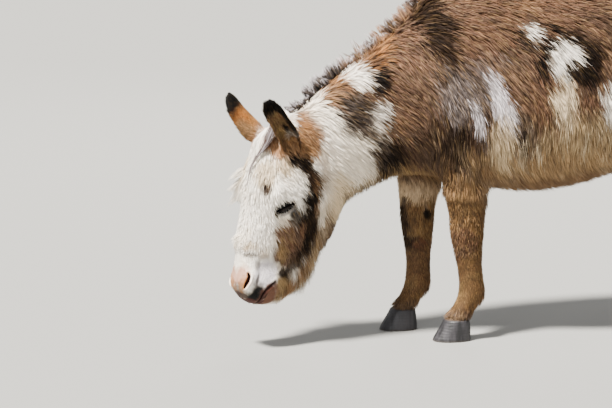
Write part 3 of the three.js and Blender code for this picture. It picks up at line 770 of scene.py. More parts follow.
# Patches of the head: side, place (along, out), half sizes, tilt, colour and strength.
HEAD_MARKS = [
    (BOTH, (0.30, -0.46), (0.40, 0.075), 0, CREAM, 0.85),
    (BOTH, (0.740, -0.40), (0.220, 0.100), 8, STRAW, 0.90),
    (BOTH, (0.480, -0.41), (0.120, 0.050), 0, mix(TAN, STRAW, 0.5), 0.60),
    (BOTH, (0.780, -0.34), (0.120, 0.045), 8, TAN, 0.70),
    # behind the ear and down the back of the cheek
    (BOTH, (0.015, -0.115), (0.100, 0.088), 0, RUSSET, 1.0),
    (BOTH, (0.900, -0.265), (0.100, 0.075), 0, STRAW, 0.95),
    (BOTH, (0.900, -0.300), (0.080, 0.040), 0, TAN, 0.80),
    (BOTH, (0.165, -0.100), (0.085, 0.055), -35, UMBER, 1.0),
    (BOTH, (0.180, -0.100), (0.060, 0.030), -40, BLACK, 1.0),
    (BOTH, (0.300, -0.195), (0.110, 0.048), -28, UMBER, 1.0),
    (BOTH, (0.290, -0.205), (0.070, 0.016), -28, TAN, 0.55),
    (BOTH, (0.425, -0.222), (0.120, 0.066), -10, BLACK, 1.0),
    (BOTH, (0.400, -0.272), (0.070, 0.022), -10, TAN, 0.75),
    # cheek
    (BOTH, (0.590, -0.180), (0.115, 0.105), -6, BROWN * 1.4, 0.95),
    (BOTH, (0.690, -0.200), (0.088, 0.090), 0, BROWN * 1.3, 0.92),
    (LEFT_SIDE, (0.565, -0.290), (0.165, 0.068), -2, UMBER, 1.0),
    (RIGHT_SIDE, (0.560, -0.245), (0.130, 0.048), -8, UMBER, 1.0),
    (BOTH, (0.545, -0.278), (0.110, 0.034), -4, BLACK, 0.90),
    (BOTH, (0.468, -0.168), (0.050, 0.046), 0, BLACK, 0.95),
    (BOTH, (0.545, -0.190), (0.080, 0.012), -4, BLACK, 0.60),
    (BOTH, (0.640, -0.220), (0.070, 0.010), -8, UMBER, 0.60),
    (BOTH, (0.620, -0.125), (0.100, 0.014), -8, STRAW, 0.60),
    (BOTH, (0.600, -0.165), (0.060, 0.010), -10, STRAW, 0.50),
    (BOTH, (0.705, -0.175), (0.060, 0.026), -20, STRAW, 0.65),
    (BOTH, (0.720, -0.262), (0.080, 0.048), 5, UMBER, 0.90),
    (BOTH, (0.800, -0.215), (0.040, 0.034), 12, UMBER, 0.95),
    (BOTH, (0.790, -0.240), (0.030, 0.022), 12, BLACK, 0.90),
    # face
    (RIGHT_SIDE, (0.330, 0.040), (0.020, 0.030), 0, BROWN, 0.7),
    (BOTH, (0.275, 0.060), (0.070, 0.044), 0, PALE_STRAW, 0.8),
    (BOTH, (0.215, -0.012), (0.054, 0.044), 0, mix(CREAM, STRAW, 0.5), 0.85),
    (BOTH, (0.690, 0.040), (0.022, 0.060), 0, PALE_STRAW, 0.7),
    (BOTH, (0.115, 0.055), (0.060, 0.055), 0, ORANGE, 0.90),
    (BOTH, (0.085, -0.036), (0.080, 0.055), 0, TAN * 1.15, 1.0),
    # painted shadow in the fold under the ear's base
    (BOTH, (0.162, -0.070), (0.034, 0.060), -25, BLACK, 1.0),
    (BOTH, (0.070, -0.110), (0.080, 0.046), 0, TAN, 0.95),
    (BOTH, (0.150, -0.215), (0.110, 0.042), -20, mix(TAN, STRAW, 0.3), 0.6),
    (BOTH, (0.715, 0.052), (0.016, 0.045), 0, TAN, 0.50),
    # painted shade of the hollow that runs from the nose's fringe down behind the nostril
    (BOTH, (0.746, 0.005), (0.016, 0.040), -20, GREY, 0.75),
    (BOTH, (0.735, -0.060), (0.030, 0.030), 0, TAN, 0.45),
]

# Bare or nearly bare skin of the muzzle, on both sides: place, half sizes, colour and strength.
MUZZLE_MARKS = [
    ((0.845, -0.105, 0.115), (0.090, 0.075, 0.08), LILAC * 0.92, 0.85),
    ((0.895, 0.010, 0.055), (0.075, 0.050, 0.08), PINK, 0.80),
    ((0.925, 0.000, 0.066), (0.050, 0.030, 0.04), ORANGE * 0.9, 0.60),
    ((0.960, 0.000, 0.000), (0.036, 0.060, 0.050), UMBER, 0.80),
    ((0.990, -0.040, 0.035), (0.028, 0.040, 0.060), mix(UMBER, LIP_RED, 0.35), 0.95),
    # painted shade in the hollow behind the nostril's wing
    ((0.800, -0.045, 0.100), (0.035, 0.020, 0.03), GREY, 0.60),
    ((0.880, -0.066, 0.110), (0.035, 0.012, 0.03), GREY * 0.6, 0.80),
    ((0.950, -0.010, 0.045), (0.035, 0.030, 0.04), TAN, 0.70),
    ((0.945, -0.085, 0.110), (0.066, 0.052, 0.04), GREY, 0.70),
    ((0.945, -0.088, 0.110), (0.046, 0.036, 0.03), INK, 1.0),
    ((0.985, -0.072, 0.088), (0.032, 0.054, 0.04), INK, 1.0),
    ((0.900, -0.150, 0.120), (0.018, 0.018, 0.03), UMBER, 0.90),
    ((1.014, -0.080, 0.030), (0.022, 0.044, 0.08), LIP_RED, 1.0),
    ((0.955, -0.165, 0.080), (0.092, 0.062, 0.12), mix(UMBER, PINK, 0.22), 1.0),
    ((0.960, -0.130, 0.110), (0.030, 0.014, 0.03), UMBER, 0.85),
    ((0.995, -0.140, 0.060), (0.020, 0.014, 0.08), LIP_RED, 0.95),
]

# Patches of the forelegs, as for the trunk
FORELEG_MARKS = [
    (RIGHT_SIDE, (-0.070, 0.410), (0.085, 0.070), 0, mix(CREAM, TAN, 0.5), 0.9),
    (RIGHT_SIDE, (-0.100, 0.295), (0.026, 0.070), 0, UMBER, 0.97),
    (RIGHT_SIDE, (-0.080, 0.232), (0.040, 0.040), 0, UMBER, 0.95),
    (RIGHT_SIDE, (-0.048, 0.240), (0.026, 0.026), 0, CHESTNUT, 0.8),
    (RIGHT_SIDE, (-0.050, 0.185), (0.050, 0.035), 0, TAN * 0.55, 0.8),
    (RIGHT_SIDE, (-0.032, 0.327), (0.013, 0.015), 0, BLACK, 0.98),
    (LEFT_SIDE, (0.022, 0.262), (0.038, 0.050), 0, BROWN, 0.75),
]

# The dark spot above the left eye alone: its place and half sizes
FOREHEAD_SPOT = np.array([0.350, 0.042, 0.126])
SPOT_SIZE = np.array([0.044, 0.050, 0.036])


def all_of(colour, points):
    return np.tile(colour, (len(points), 1))


def blot(first, second, size, tilt, points, seed):
    """How strongly a soft-edged, ragged patch covers each point, from offsets to its middle."""
    turn = math.radians(tilt)
    u = first * math.cos(turn) + second * math.sin(turn)
    w = second * math.cos(turn) - first * math.sin(turn)
    reach = np.hypot(u / size[0], w / size[1])
    close = reach < 2.2
    cover = np.zeros(len(points))
    ragged = 0.42 * noise(points[close], 0.05, seed) + 0.22 * noise(points[close], 0.014, seed + 9)
    cover[close] = 1 - smoothstep(0.68, 1.22, reach[close] + ragged)
    return cover


def patched(colour, marks, first, second, facing, points, first_seed):
    """Paints patches one over the other. facing gives each point's share of a patch's side."""
    for seed, (side, place, size, tilt, patch, strength) in enumerate(marks, first_seed):
        cover = blot(first - place[0], second - place[1], size, tilt, points, seed)
        colour = mix(colour, patch, cover * facing(side, place) * strength)
    return colour


def body_colour(points):
    """Trunk and neck: brown, with lighter and darker patches, painted shade low on the sides, and
    pale streaks low on the side.
    """
    x, y, z = points.T
    colour = mottled(all_of(BROWN, points), TAN, 0.6, -0.2, 0.9, points, 0.07, 3)
    greyish = smoothstep(-0.1, 0.8, noise(points, 0.055, 4)) * smoothstep(0.90, 0.78, z)
    colour = mix(colour, mix(GREY, TAN, 0.5) * 1.25, 0.55 * greyish)
    colour = mottled(colour, UMBER, 0.7, 0.1, 0.9, points, 0.05, 5)
    # painted shade: the trunk darkens by up to 30 per cent towards the belly
    colour = colour * (1 - 0.30 * smoothstep(0.88, 0.62, z))[:, None]
    facing = lambda side, place: smoothstep(-0.035, 0.035, y * side) if side != BOTH else 1
    colour = patched(colour, BODY_MARKS, x, z, facing, points, BODY_SEED)
    streaks = smoothstep(0.2, 0.8, noise(points * [1.0, 1.0, 0.22], 0.018, 6))
    streaks = streaks * window(0.45, 0.50, 0.54, 0.66, z) * smoothstep(0.06, 0.12, x)
    return mix(colour, CREAM, 0.65 * streaks)


def head_colour(points):
    """White, with brown and black patches, and pink and grey skin round the mouth and nose."""
    shares = to_head(points)
    at, out, left = shares.T

    def facing(side, place):
        """The patches of the cheeks end short of the middle of the face and of the jaw."""
        turned = np.abs(left) if side == BOTH else -left * side
        middle = 0.04 if -0.30 < place[1] < -0.15 else 0.01
        return smoothstep(middle, middle + 0.04, turned)

    colour = mottled(all_of(WHITE, points), CREAM, 0.5, -0.1, 0.9, points, 0.05, 70)
    colour = patched(colour, HEAD_MARKS, at, out, facing, points, HEAD_SEED)
    folded = shares * [1, 1, 0] + np.abs(shares) * [0, 0, 1]
    ragged = 0.22 * noise(points, 0.012, 150)
    for place, size, patch, strength in MUZZLE_MARKS:
        offset = np.linalg.norm((folded - place) / size, axis=1)
        colour = mix(colour, patch, (1 - smoothstep(0.6, 1.25, offset + ragged)) * strength)
    spot = np.linalg.norm((shares - FOREHEAD_SPOT) / SPOT_SIZE, axis=1)
    colour = mix(colour, mix(UMBER, GREY, 0.2), 1 - smoothstep(0.6, 1.2, spot + ragged))
    for side in SIDES.values():
        colour = nostril_colour(colour, points, side)
        colour = lips_colour(colour, points, side, ragged)
        colour = lid_colour(colour, points, side)
    return colour


def nostril_colour(colour, points, side):
    """A dark hole, pale along its rear rim and tan in front of it."""
    away, share = nostril_distance(points, side)
    half = nostril_half(share)
    behind = behind_nostril(points, side, 0.002)
    rim = window(0, 0.0015, 0.0060, 0.0085, away - half) * behind
    colour = mix(colour, WHITE * 0.9, (0.8 if side < 0 else 0.3) * rim)
    front = (1 - smoothstep(0.002, 0.007, away - half)) * (1 - behind)
    colour = mix(colour, RUSSET * 0.9, 0.75 * front)
    return mix(colour, NOSTRIL_DARK, 1 - smoothstep(half * 0.7, half * 1.15, away))


def lips_colour(colour, points, side, ragged):
    """Red edges of the lips, and painted shadow in the groove between them."""
    beside = 1 - smoothstep(0.003, 0.011, mouth_distance(points, side) + 0.003 * ragged)
    colour = mix(colour, LIP_RED * 0.8, 0.8 * beside)
    # painted shadow in the groove between the lips
    inside = 1 - smoothstep(0.0030, 0.0062, mouth_distance(points, side, MOUTH_DEPTH * 0.8))
    return mix(colour, NOSTRIL_DARK * 0.6, inside)


def lid_colour(colour, points, side):
    """The grey lower lid, and the dark edge of the upper one with the eye's corners."""
    local, reach, across, rise, open_share = lid_angles(points, side)
    forward, up, outward = local.T
    ragged = 0.003 * noise(points, 0.008, 151)
    lower = smoothstep(0.0, 0.004, -up) * (1 - smoothstep(0.016, 0.024, -up + ragged))
    lower = lower * (1 - smoothstep(0.019, 0.027, np.abs(forward + 0.003) + ragged))
    in_front = outward > LID_BACK
    colour = mix(colour, LID_GREY, lower * 0.9 * in_front * (reach < 0.040))
    upper = smoothstep(-0.05, 0.0, rise + LOWER_LID * open_share) * (1 - smoothstep(0.66, 0.86, rise))
    upper = upper * (1 - smoothstep(0.92, 1.25, np.abs(across) / SLIT_WIDE))
    return mix(colour, INK, upper * 0.98 * in_front * (reach < 0.034))


def ear_colour(points, normals):
    """Tan outside, greyish inside with painted shade deep in its hollow, with dark tips and a dark
    rear rim.
    """
    along, across, _ = ear_place(points)
    colour = mottled(all_of(EAR_ORANGE, points), STRAW, 0.35, -0.3, 0.8, points, 0.03, 120)
    front = smoothstep(0.010, 0.026, across) * (1 - smoothstep(0.5, 0.7, along))
    colour = mix(colour, mix(GREY, STRAW, 0.6), 0.7 * front)
    inner = smoothstep(-0.05, 0.30, facing_opening(points, normals))
    lining = mottled(TAN * 0.7, STRAW, 1, -0.5, 0.6, points, 0.012, 121)
    colour = mix(colour, lining, inner)
    # painted shade deep in the ear's hollow
    painted_hollow_shade = np.exp(-((along - 0.34) / 0.18) ** 2 - ((across + 0.010) / 0.009) ** 2)
    colour = mix(colour, INK, smoothstep(0.20, 0.75, painted_hollow_shade * inner))
    half_width = 0.034 * np.sqrt(np.clip(1 - ((along - 0.42) / 0.62) ** 2, 0.02, 1))
    rear = smoothstep(0.52, 0.76, -across / half_width) * smoothstep(-0.05, 0.1, along)
    colour = mix(colour, INK, rear * 0.98)
    ragged = 0.05 * noise(points, 0.02, 122) + 0.10 * smoothstep(0.0, -0.03, across)
    return mix(colour, INK, smoothstep(0.66, 0.78, along + ragged))


def leg_colour(points, fore):
    """Tan darkened as painted shade, darker still downwards, with patches on the forelegs and a brown
    hock on the hind legs.
    """
    x, y, z = points.T
    colour = mottled(all_of(SHADED_LEG_TAN, points), TAN * 0.8, 0.6, -0.2, 0.8, points, 0.06, 130)
    colour = mottled(colour, STRAW, 0.5, 0.1, 0.9, points, 0.05, 132)
    low = smoothstep(0.32, 0.22, z)
    colour = mottled(colour, TAN * 0.62, 0.7 * low, -0.5, 0.6, points, 0.05, 131)
    if fore:
        facing = lambda side, place: smoothstep(0.0, 0.02, y * side)
        colour = patched(colour, FORELEG_MARKS, x, z, facing, points, LEG_SEED)
    else:
        hock = blot(x - 0.74, z - 0.36, (0.10, 0.060), 0, points, 138)
        colour = mix(colour, BROWN, 0.6 * hock)
    return mix(colour, GREY * 0.8, 0.6 * (1 - smoothstep(0.065, 0.10, z)))


def coat_colour(points, normals, share):
    """The markings: every kind of flesh has its own, faded into the next."""
    part = {k: share[:, i:i + 1] for i, k in enumerate(KINDS)}
    at, out, _ = to_head(points).T
    behind_head = smoothstep(-0.04, 0.03, at) * smoothstep(-0.30, -0.18, out)
    neck = part["neck"] * (1 - behind_head[:, None])
    colour = body_colour(points) * (part["trunk"] + neck)
    colour += head_colour(points) * (part["head"] + part["neck"] - neck)
    colour += ear_colour(points, normals) * part["ear"]
    colour += leg_colour(points, True) * (part["foreleg_upper"] + part["foreleg_lower"])
    colour += leg_colour(points, False) * (part["hindleg_upper"] + part["hindleg_lower"])
    colour += mottled(BROWN, UMBER, 1, -0.3, 0.5, points, 0.03, 140) * part["tail"]
    return colour


def bare_share(points, share):
    """How much of the skin itself shows: on the muzzle and round the eyes."""
    bare = smoothstep(0.80, 0.90, to_head(points)[:, 0]) * of_kind(share, "head")
    return np.maximum(bare, 1 - smoothstep(0.024, 0.032, eye_distance(points)))


# ---- Coat --------------------------------------------------------------------------------

# Each kind's tufts: length, height of the tips, width, and number for each square metre.
TUFTS = {"trunk": (0.043, 0.0160, 0.0025, 70000), "neck": (0.036, 0.0145, 0.0024, 80000),
         "head": (0.018, 0.0065, 0.0018, 110000), "ear": (0.0075, 0.0020, 0.0013, 150000),
         "tail": (0.030, 0.0100, 0.0026, 80000),
         "foreleg_upper": (0.016, 0.0050, 0.0019, 95000),
         "foreleg_lower": (0.0095, 0.0028, 0.0014, 130000),
         "hindleg_upper": (0.021, 0.0066, 0.0022, 80000),
         "hindleg_lower": (0.0095, 0.0028, 0.0014, 130000)}
# The coat's length down the face
FACE_AT = [0.0, 0.2, 0.45, 0.62, 0.70, 0.76, 0.82, 0.96]
FACE_LENGTH = [0.026, 0.027, 0.024, 0.022, 0.019, 0.008, 0.0045, 0.003]
BENT_SHARE = 0.5  # of the tufts longer than SHORT
SHORT = 0.0125  # tufts shorter than this have no bend
FEWEST = 30  # tufts in a piece; smaller ones are left out
PATCH = 0.003  # size of a tuft's patch in the UV map
SUNK = 0.0008  # how far a tuft's foot lies under the skin
TUFT_SHAPE = 0.34  # how much a tuft's own shape, rather than the body's, shades it
CLUMP = 0.013  # size of the coat's clumps


def flow_of(points, normals, share):
    """The lie of the coat at each point of the skin, in the surface."""
    x, y, z = points.T
    n_up = normals[:, 2]
    flat = 0 * x
    # trunk: back along the spine, ever steeper down the sides, and back under the belly
    slope = np.radians(4 + 80 * np.clip((0.985 - z) / 0.42, 0, 1) ** 0.6)
    slope = slope * (1 - 0.35 * smoothstep(0.3, -0.2, x) * smoothstep(0.55, 0.75, z))
    back = np.cos(slope) + 0.9 * smoothstep(0.35, 0.85, -n_up)
    trunk = np.stack([back, 0.25 * np.sign(y) * smoothstep(0.4, 0.9, n_up), -np.sin(slope)], 1)
    # neck: back and down
    steep = np.radians(38 - 45 * smoothstep(0.5, 0.9, n_up) + 30 * smoothstep(0.1, 0.7, -n_up))
    neck = unit(np.stack([np.cos(steep), flat + 0.1, -np.sin(steep)], 1))
    # head: down the face to the muzzle, back over the cheeks, and backwards at the poll
    at, _, left = to_head(points).T
    n_out = normals @ OUT
    cheek = (1 - smoothstep(0.25, 0.75, n_out)) * (1 - smoothstep(0.62, 0.86, at))
    aside = np.sign(left) * smoothstep(0.3, 0.8, n_out) * (1 - smoothstep(0.6, 0.85, at))
    head = np.stack([1 - 0.35 * cheek, -0.68 * cheek, 0.38 * aside], 1) @ HEAD_AXES
    poll = 1 - smoothstep(-0.06, 0.05, at)
    head = unit(mix(head, np.array([0.8, 0.1, -0.35]), 0.8 * poll))
    # ears: towards their tips; legs and tail: down
    ear = np.stack([flat + EAR_WAY[0], flat + EAR_WAY[1], EAR_WAY[2] * np.sign(left)], 1) @ HEAD_AXES
    down = np.tile([0.06, 0.0, -1.0], (len(points), 1))
    ways = {"trunk": trunk, "neck": neck, "head": head, "ear": ear}
    return sum(ways.get(k, down) * share[:, i:i + 1] for i, k in enumerate(KINDS))


def tangent(ways, normals):
    return unit(ways - normals * dot(ways, normals)[:, None])


def tuft_fields(points, normals, share):
    """Each vertex's tuft length, tip height, width, density, and how far its tufts hang free."""
    length, height, width, density = per_kind(share, TUFTS).T
    z = points[:, 2]
    at, out, left = to_head(points).T
    head, ear, tail = (of_kind(share, kind) for kind in ("head", "ear", "tail"))
    body = of_kind(share, "trunk") + of_kind(share, "neck")
    leg = 1 - np.clip(head + ear + tail + body, 0, 1)
    # head: shorter down the face, long under the jaw
    jaw = smoothstep(-0.30, -0.42, out) * (1 - smoothstep(0.78, 0.92, at))
    chin = smoothstep(-0.19, -0.26, out) * window(0.72, 0.80, 0.94, 1.0, at)
    face = np.interp(at, FACE_AT, FACE_LENGTH)
    face = face * (1 + 0.35 * smoothstep(-0.10, -0.25, out) * (1 - smoothstep(0.7, 0.85, at)))
    face = mix(face, 0.020, chin)
    face = mix(face, 0.006, 1 - smoothstep(0.022, 0.036, eye_distance(points)))
    face_height = np.clip(face * 0.34, 0.0008, 0.0075)
    length = mix(length, mix(face, 0.048, jaw), head)
    height = mix(height, mix(face_height, 0.022, jaw), head)
    width = mix(width, np.interp(at, [0.5, 0.8, 0.95], [0.0019, 0.0013, 0.0009]), head)
    width = mix(width, 0.0023, head * jaw)
    density = mix(density, np.interp(at, [0.5, 0.8, 0.92], [110000, 170000, 190000]), head)
    density = mix(density, 80000, head * jaw)
    # body: longer low on the side and under the belly
    length = length * (1 + 0.22 * smoothstep(0.66, 0.46, z) * body)
    # feather behind the fetlocks, hair over the hooves, and a fringe behind the elbows
    behind = smoothstep(0.2, 0.8, normals[:, 0]) * leg
    feather = behind * window(0.075, 0.11, 0.16, 0.22, z)
    coronet = leg * (1 - smoothstep(0.080, 0.096, z))
    elbow = behind * smoothstep(0.30, 0.40, z)
    length = length + 0.013 * feather + 0.012 * coronet + 0.012 * elbow
    height = height + 0.002 * coronet
    # ears: long hair inside the opening
    inner = ear * smoothstep(0.1, 0.4, facing_opening(points, normals))
    length = mix(length, 0.0155, inner)
    height = mix(height, 0.0050, inner)
    # tail: short on the dock, long in the switch
    switch = tail * (1 - smoothstep(0.52, 0.70, z))
    length = mix(length, 0.088, switch)
    height = mix(height, 0.012, switch)
    # longer hair on the brow's right side, and across the nose
    brow = head * smoothstep(0.01, 0.05, out) * window(0.26, 0.32, 0.40, 0.46, at)
    brow = brow * smoothstep(-0.02, -0.06, left)
    fringe = head * smoothstep(-0.02, 0.02, out) * window(0.635, 0.66, 0.69, 0.71, at)
    fringe = fringe * (0.5 + 0.5 * smoothstep(0.02, -0.02, left))
    length = length * (1 + 0.75 * brow + 0.45 * fringe)
    belly = body * smoothstep(0.25, 0.8, -normals[:, 2])
    free = np.clip(jaw * head + switch + 0.55 * feather + 0.5 * elbow + 0.7 * coronet, 0, 1)
    for looser in (0.85 * brow, 0.60 * fringe, 0.6 * chin * head, 0.55 * belly):
        free = np.maximum(free, looser)
    return length, height, width, density, free


def coat_cover(points):
    """Where the coat grows: not in the nostrils or on the lids' edges."""
    cover = np.ones(len(points))
    for side in SIDES.values():
        cover *= smoothstep(0.004, 0.009, nostril_distance(points, side)[0])
        local, reach, across, rise, open_share = lid_angles(points, side)
        above = rise - UPPER_LID * open_share
        gap = np.where(above > 0, above - 0.28, -LOWER_LID * open_share - rise)
        near = (local[:, 2] > LID_BACK) & (reach < 0.030) & (np.abs(across) < SLIT_WIDE * 1.15)
        cover *= np.where(near, smoothstep(0.08, 0.28, gap), 1)
    return cover


def scatter(mesh, density):
    """Random places on the skin: each one's three corner vertices and their shares."""
    mesh.calc_loop_triangles()
    corners = np.empty(len(mesh.loop_triangles) * 3, np.int32)
    mesh.loop_triangles.foreach_get("vertices", corners)
    corners = corners.reshape(-1, 3)
    a, b, c = (skin_points[corners[:, i]] for i in range(3))
    area = np.linalg.norm(np.cross(b - a, c - a), axis=1) / 2
    wanted = area * density[corners].mean(1)
    count = np.floor(wanted + rng.random(len(wanted))).astype(int)
    corners = np.repeat(corners, count, axis=0)
    r, s = rng.random((2, len(corners)))
    flip = r + s > 1
    r, s = np.where(flip, 1 - r, r), np.where(flip, 1 - s, s)
    return corners, np.stack([1 - r - s, r, s], 1)


def at_places(values, corners, shares):
    return (values[corners] * (shares if values.ndim == 1 else shares[..., None])).sum(1)


def on_skin(places):
    """The nearest points of the skin and its normals there."""
    found = [skin_tree.find_nearest(p) for p in places]
    return np.array([f[0] for f in found]), np.array([f[1] for f in found])


def gathered(values, cell, pull):
    """Values drawn towards the mean of their cell."""
    count = np.bincount(cell)
    mean = np.stack([np.bincount(cell, values[:, i]) for i in range(3)], 1) / count[:, None]
    return mix(values, mean[cell], pull)


def cells(points, size, seed):
    """A number for the clump that each point belongs to."""
    sway = np.stack([noise(points, size * 3, seed + i, 1) for i in range(3)], 1)
    grid = np.floor((points + sway * size * 0.8) / size).astype(np.int64)
    grid -= grid.min(0)
    width = grid.max(0) + 1
    number = (grid[:, 0] * width[1] + grid[:, 1]) * width[2] + grid[:, 2]
    return np.unique(number, return_inverse=True)[1]


def grow(roots, normals, flow, length, height, free):
    """Middle and tip of each tuft: along the skin where it clings, and outwards where it hangs."""
    count = len(roots)
    sway = 0.30 * noise(roots, 0.055, 200)[:, None] + rng.normal(0, 0.13, (count, 1))
    flow = unit(flow + np.cross(normals, flow) * sway)
    length = length * rng.uniform(0.72, 1.25, count)
    height = height * rng.uniform(0.45, 1.25, count)
    half = (length * 0.5)[:, None]
    near_middle, middle_normal = on_skin(roots + flow * half)
    near_tip, tip_normal = on_skin(roots + flow * half * 1.9)
    clung_middle = near_middle + middle_normal * (height * 0.74)[:, None]
    clung_tip = near_tip + tip_normal * height[:, None]
    hang = unit(flow + normals * rng.uniform(0.25, 0.75, (count, 1)))
    droop = np.array([0.0, 0.0, -0.22]) * length[:, None]
    middle = mix(clung_middle, roots + hang * half + droop * 0.25, free)
    tip = mix(clung_tip, roots + hang * half * 1.9 + droop, free)
    return middle, tip


def spike_faces(rings):
    """The faces of a closed spike: rings of three corners, then a tip."""
    faces = []
    for ring in range(rings - 1):
        for k in range(3):
            near, after = 3 * ring + k, 3 * ring + (k + 1) % 3
            faces.append((near, after, after + 3, near + 3))
    last = 3 * (rings - 1)
    faces += [(last + k, last + (k + 1) % 3, last + 3) for k in range(3)]
    return faces + [(2, 1, 0)]


def tufts_mesh(name, spine, normals, width, shades, uv):
    """Closed tufts with three sides along spines of two or more points, pointed at the tip.

    spine is (tufts, points, 3), shades the colour at each of its points."""
    count, steps, _ = spine.shape
    rings = steps - 1
    forward = unit(spine[:, -1] - spine[:, 0])
    side = unit(np.cross(forward, normals) + rng.normal(0, 0.28, (count, 3)))
    side = unit(side - forward * dot(side, forward)[:, None])
    over = np.cross(side, forward)
    corners = np.stack([over * 0.42, side * 0.5, -side * 0.5], 1) * width[:, None, None]
    taper = 1 - 0.28 * np.arange(rings) / max(rings - 1, 1)
    foot = spine[:, :-1].copy()
    foot[:, 0] -= normals * SUNK
    body = foot[:, :, None] + corners[:, None] * taper[None, :, None, None]
    points = np.concatenate([body.reshape(count, -1, 3), spine[:, -1:]], 1)
    faces = spike_faces(rings)
    order = np.array([i for f in faces for i in f])
    loops = (np.arange(count)[:, None] * points.shape[1] + order).ravel()
    mesh = mesh_from(name, points.reshape(-1, 3), loops, np.tile([len(f) for f in faces], count))
    step_of = np.append(np.repeat(np.arange(rings), 3), rings)
    add_colour(mesh, shades[:, step_of].reshape(-1, 3))
    across = np.append(np.tile([0.0, 0.5, -0.5], rings), 0.0)
    corner = uv[:, None] + PATCH * np.stack([across, step_of / rings - 0.5], 1)
    layer = mesh.uv_layers.new(name="OFBake")
    layer.data.foreach_set("uv", corner[:, order].astype(np.float32).ravel())
    own = np.tile(unit(corners)[:, None], (1, rings, 1, 1)).reshape(count, -1, 3)
    own = np.concatenate([own, forward[:, None]], 1)
    turned = normals + rng.normal(0, 0.12, (count, 3))
    lit = unit(own * TUFT_SHAPE + turned[:, None] * (1 - TUFT_SHAPE))
    mesh.normals_split_custom_set_from_vertices(lit.reshape(-1, 3).tolist())
    return mesh


def unwrap(points, kind):
    """Places of points on the skin laid flat round each part's own axis, from 0 to 1."""
    p = points - points.mean(0)
    if kind == "head":
        p = p @ HEAD_AXES.T
    elif kind not in ("trunk", "neck"):
        p = p[:, [2, 0, 1]]
    flat = np.stack([p[:, 0], np.arctan2(p[:, 2], p[:, 1])], 1)
    low, high = flat.min(0), flat.max(0)
    return 0.02 + 0.96 * (flat - low) / (high - low)


def add_tufts(name, spine, normals, width, shades, kind, material, slot="coat", *nodes):
    mesh = tufts_mesh(name, spine, normals, width, shades, unwrap(spine[:, 0], kind))
    add_piece(name, mesh, slot, material, *nodes)


def tuft_shades(colours, steps, length=0.04, pale_share=0.22):
    """Colours along tufts from root to tip: dark and warm at the root, pale at the tip.

    The shortest tufts, which lie flat, are of one colour."""
    count = len(colours)
    deep = smoothstep(0.005, 0.020, np.broadcast_to(length, count))
    level = colours @ BRIGHTNESS
    dark_coat = 1 - smoothstep(0.16, 0.45, level)
    own = colours * rng.normal(1.0, 0.05 + 0.24 * dark_coat)[:, None].clip(0.40, 1.7)
    dusky = (rng.random(count) < 0.14) * dark_coat * rng.uniform(0.3, 0.8, count)
    own = mix(own, UMBER, dusky)
    pale = (rng.random(count) < pale_share) * rng.uniform(0.15, 0.5, count)
    own = mix(own, STRAW * 1.05, pale * (0.35 + 0.65 * dark_coat) * smoothstep(-0.02, 0.05, level))
    shade = mix(np.array([0.84, 0.79, 0.73]), np.array([0.55, 0.48, 0.42]), dark_coat)
    root = own * mix(np.ones(3), shade, deep)
    tip = mix(own * 1.06, FROST, 0.10 * dark_coat * smoothstep(0.008, 0.03, level))
    rise = np.linspace(0, 1, steps) ** 0.5
    return mix(root[:, None], tip[:, None], rise[None, :, None])


def joined(first, second):
    return np.char.add(np.char.add(first, "_"), second)


def coat_groups(points, share):
    """The name of the coat piece that each tuft belongs to, and the kind of flesh under it."""
    kind = np.array(KINDS)[share.argmax(1)]
    x, y, _ = points.T
    at, _, left = to_head(points).T
    on_head = (kind == "head") | (kind == "ear")
    group = joined(kind, np.where(np.where(on_head, left > 0, y < 0), "left", "right"))
    band = np.select([x < 0.06, x < 0.27, x < 0.50], ["fore", "mid", "aft"], "rear")
    group = np.where(kind == "trunk", joined(group, band), group)
    zone = np.where(at < 0.5, "upper", "lower")
    group = np.where(kind == "head", joined(group, zone), group)
    return np.where(kind == "tail", "tail", group), kind


def build_coat(material):
    length, height, width, density, free = tuft_fields(skin_points, skin_normals, skin_share)
    flow = tangent(flow_of(skin_points, skin_normals, skin_share), skin_normals)
    flow = tangent(Net(skin_mesh).spread(flow, 12), skin_normals)
    corners, shares = scatter(skin_mesh, density * coat_cover(skin_points))
    place = lambda values: at_places(values, corners, shares)
    roots, normals = place(skin_points), unit(place(skin_normals))
    flow = tangent(place(flow), normals)
    length, height, width, free, share = map(place, (length, height, width, free, skin_share))
    middle, tip = grow(roots, normals, flow, length, height, free)
    # tufts of a clump lean together, and share some of their colour
    clump = cells(roots, CLUMP, 300)
    clump_count = clump.max() + 1
    loose = rng.uniform(0.25, 0.75, len(roots)) * smoothstep(0.010, 0.025, length)
    tip = gathered(tip, clump, loose)
    middle = gathered(middle, clump, loose * 0.45)
    width = width * rng.uniform(0.7, 1.3, len(roots))
    # each tuft takes its colour from a little way off, so that the patches' edges are ragged
    along = rng.normal(0, 0.009, len(roots)) + rng.normal(0, 0.006, clump_count)[clump]
    along = along * (1 - 0.55 * of_kind(share, "head"))
    slide = flow * along[:, None] + rng.normal(0, 0.0045, roots.shape)
    slide = slide * smoothstep(0.010, 0.040, length)[:, None]
    colours = coat_colour(roots + slide, normals, share)
    dark_coat = 1 - smoothstep(0.2, 0.5, colours @ BRIGHTNESS)
    varied = rng.normal(0, 1, clump_count)[clump].clip(-1.8, 1.8)
    colours = colours * (1 + varied * (0.06 + 0.18 * dark_coat))[:, None]
    group, kind = coat_groups(roots, share)
    spine = np.stack([roots, middle, tip], 1)
    bent = (length > SHORT) & (rng.random(len(roots)) < BENT_SHARE)
    for name in sorted(set(group)):
        for style, wanted, steps in (("locks", bent, [0, 1, 2]), ("straight", ~bent, [0, 2])):
            chosen = (group == name) & wanted
            if chosen.sum() < FEWEST:
                continue
            shades = tuft_shades(colours[chosen], len(steps), length[chosen])
            add_tufts(f"coat_{name}_{style}", spine[chosen][:, steps], normals[chosen],
                      width[chosen], shades, kind[chosen][0], material)


# ---- Mane, forelock and wisps ------------------------------------------------------------

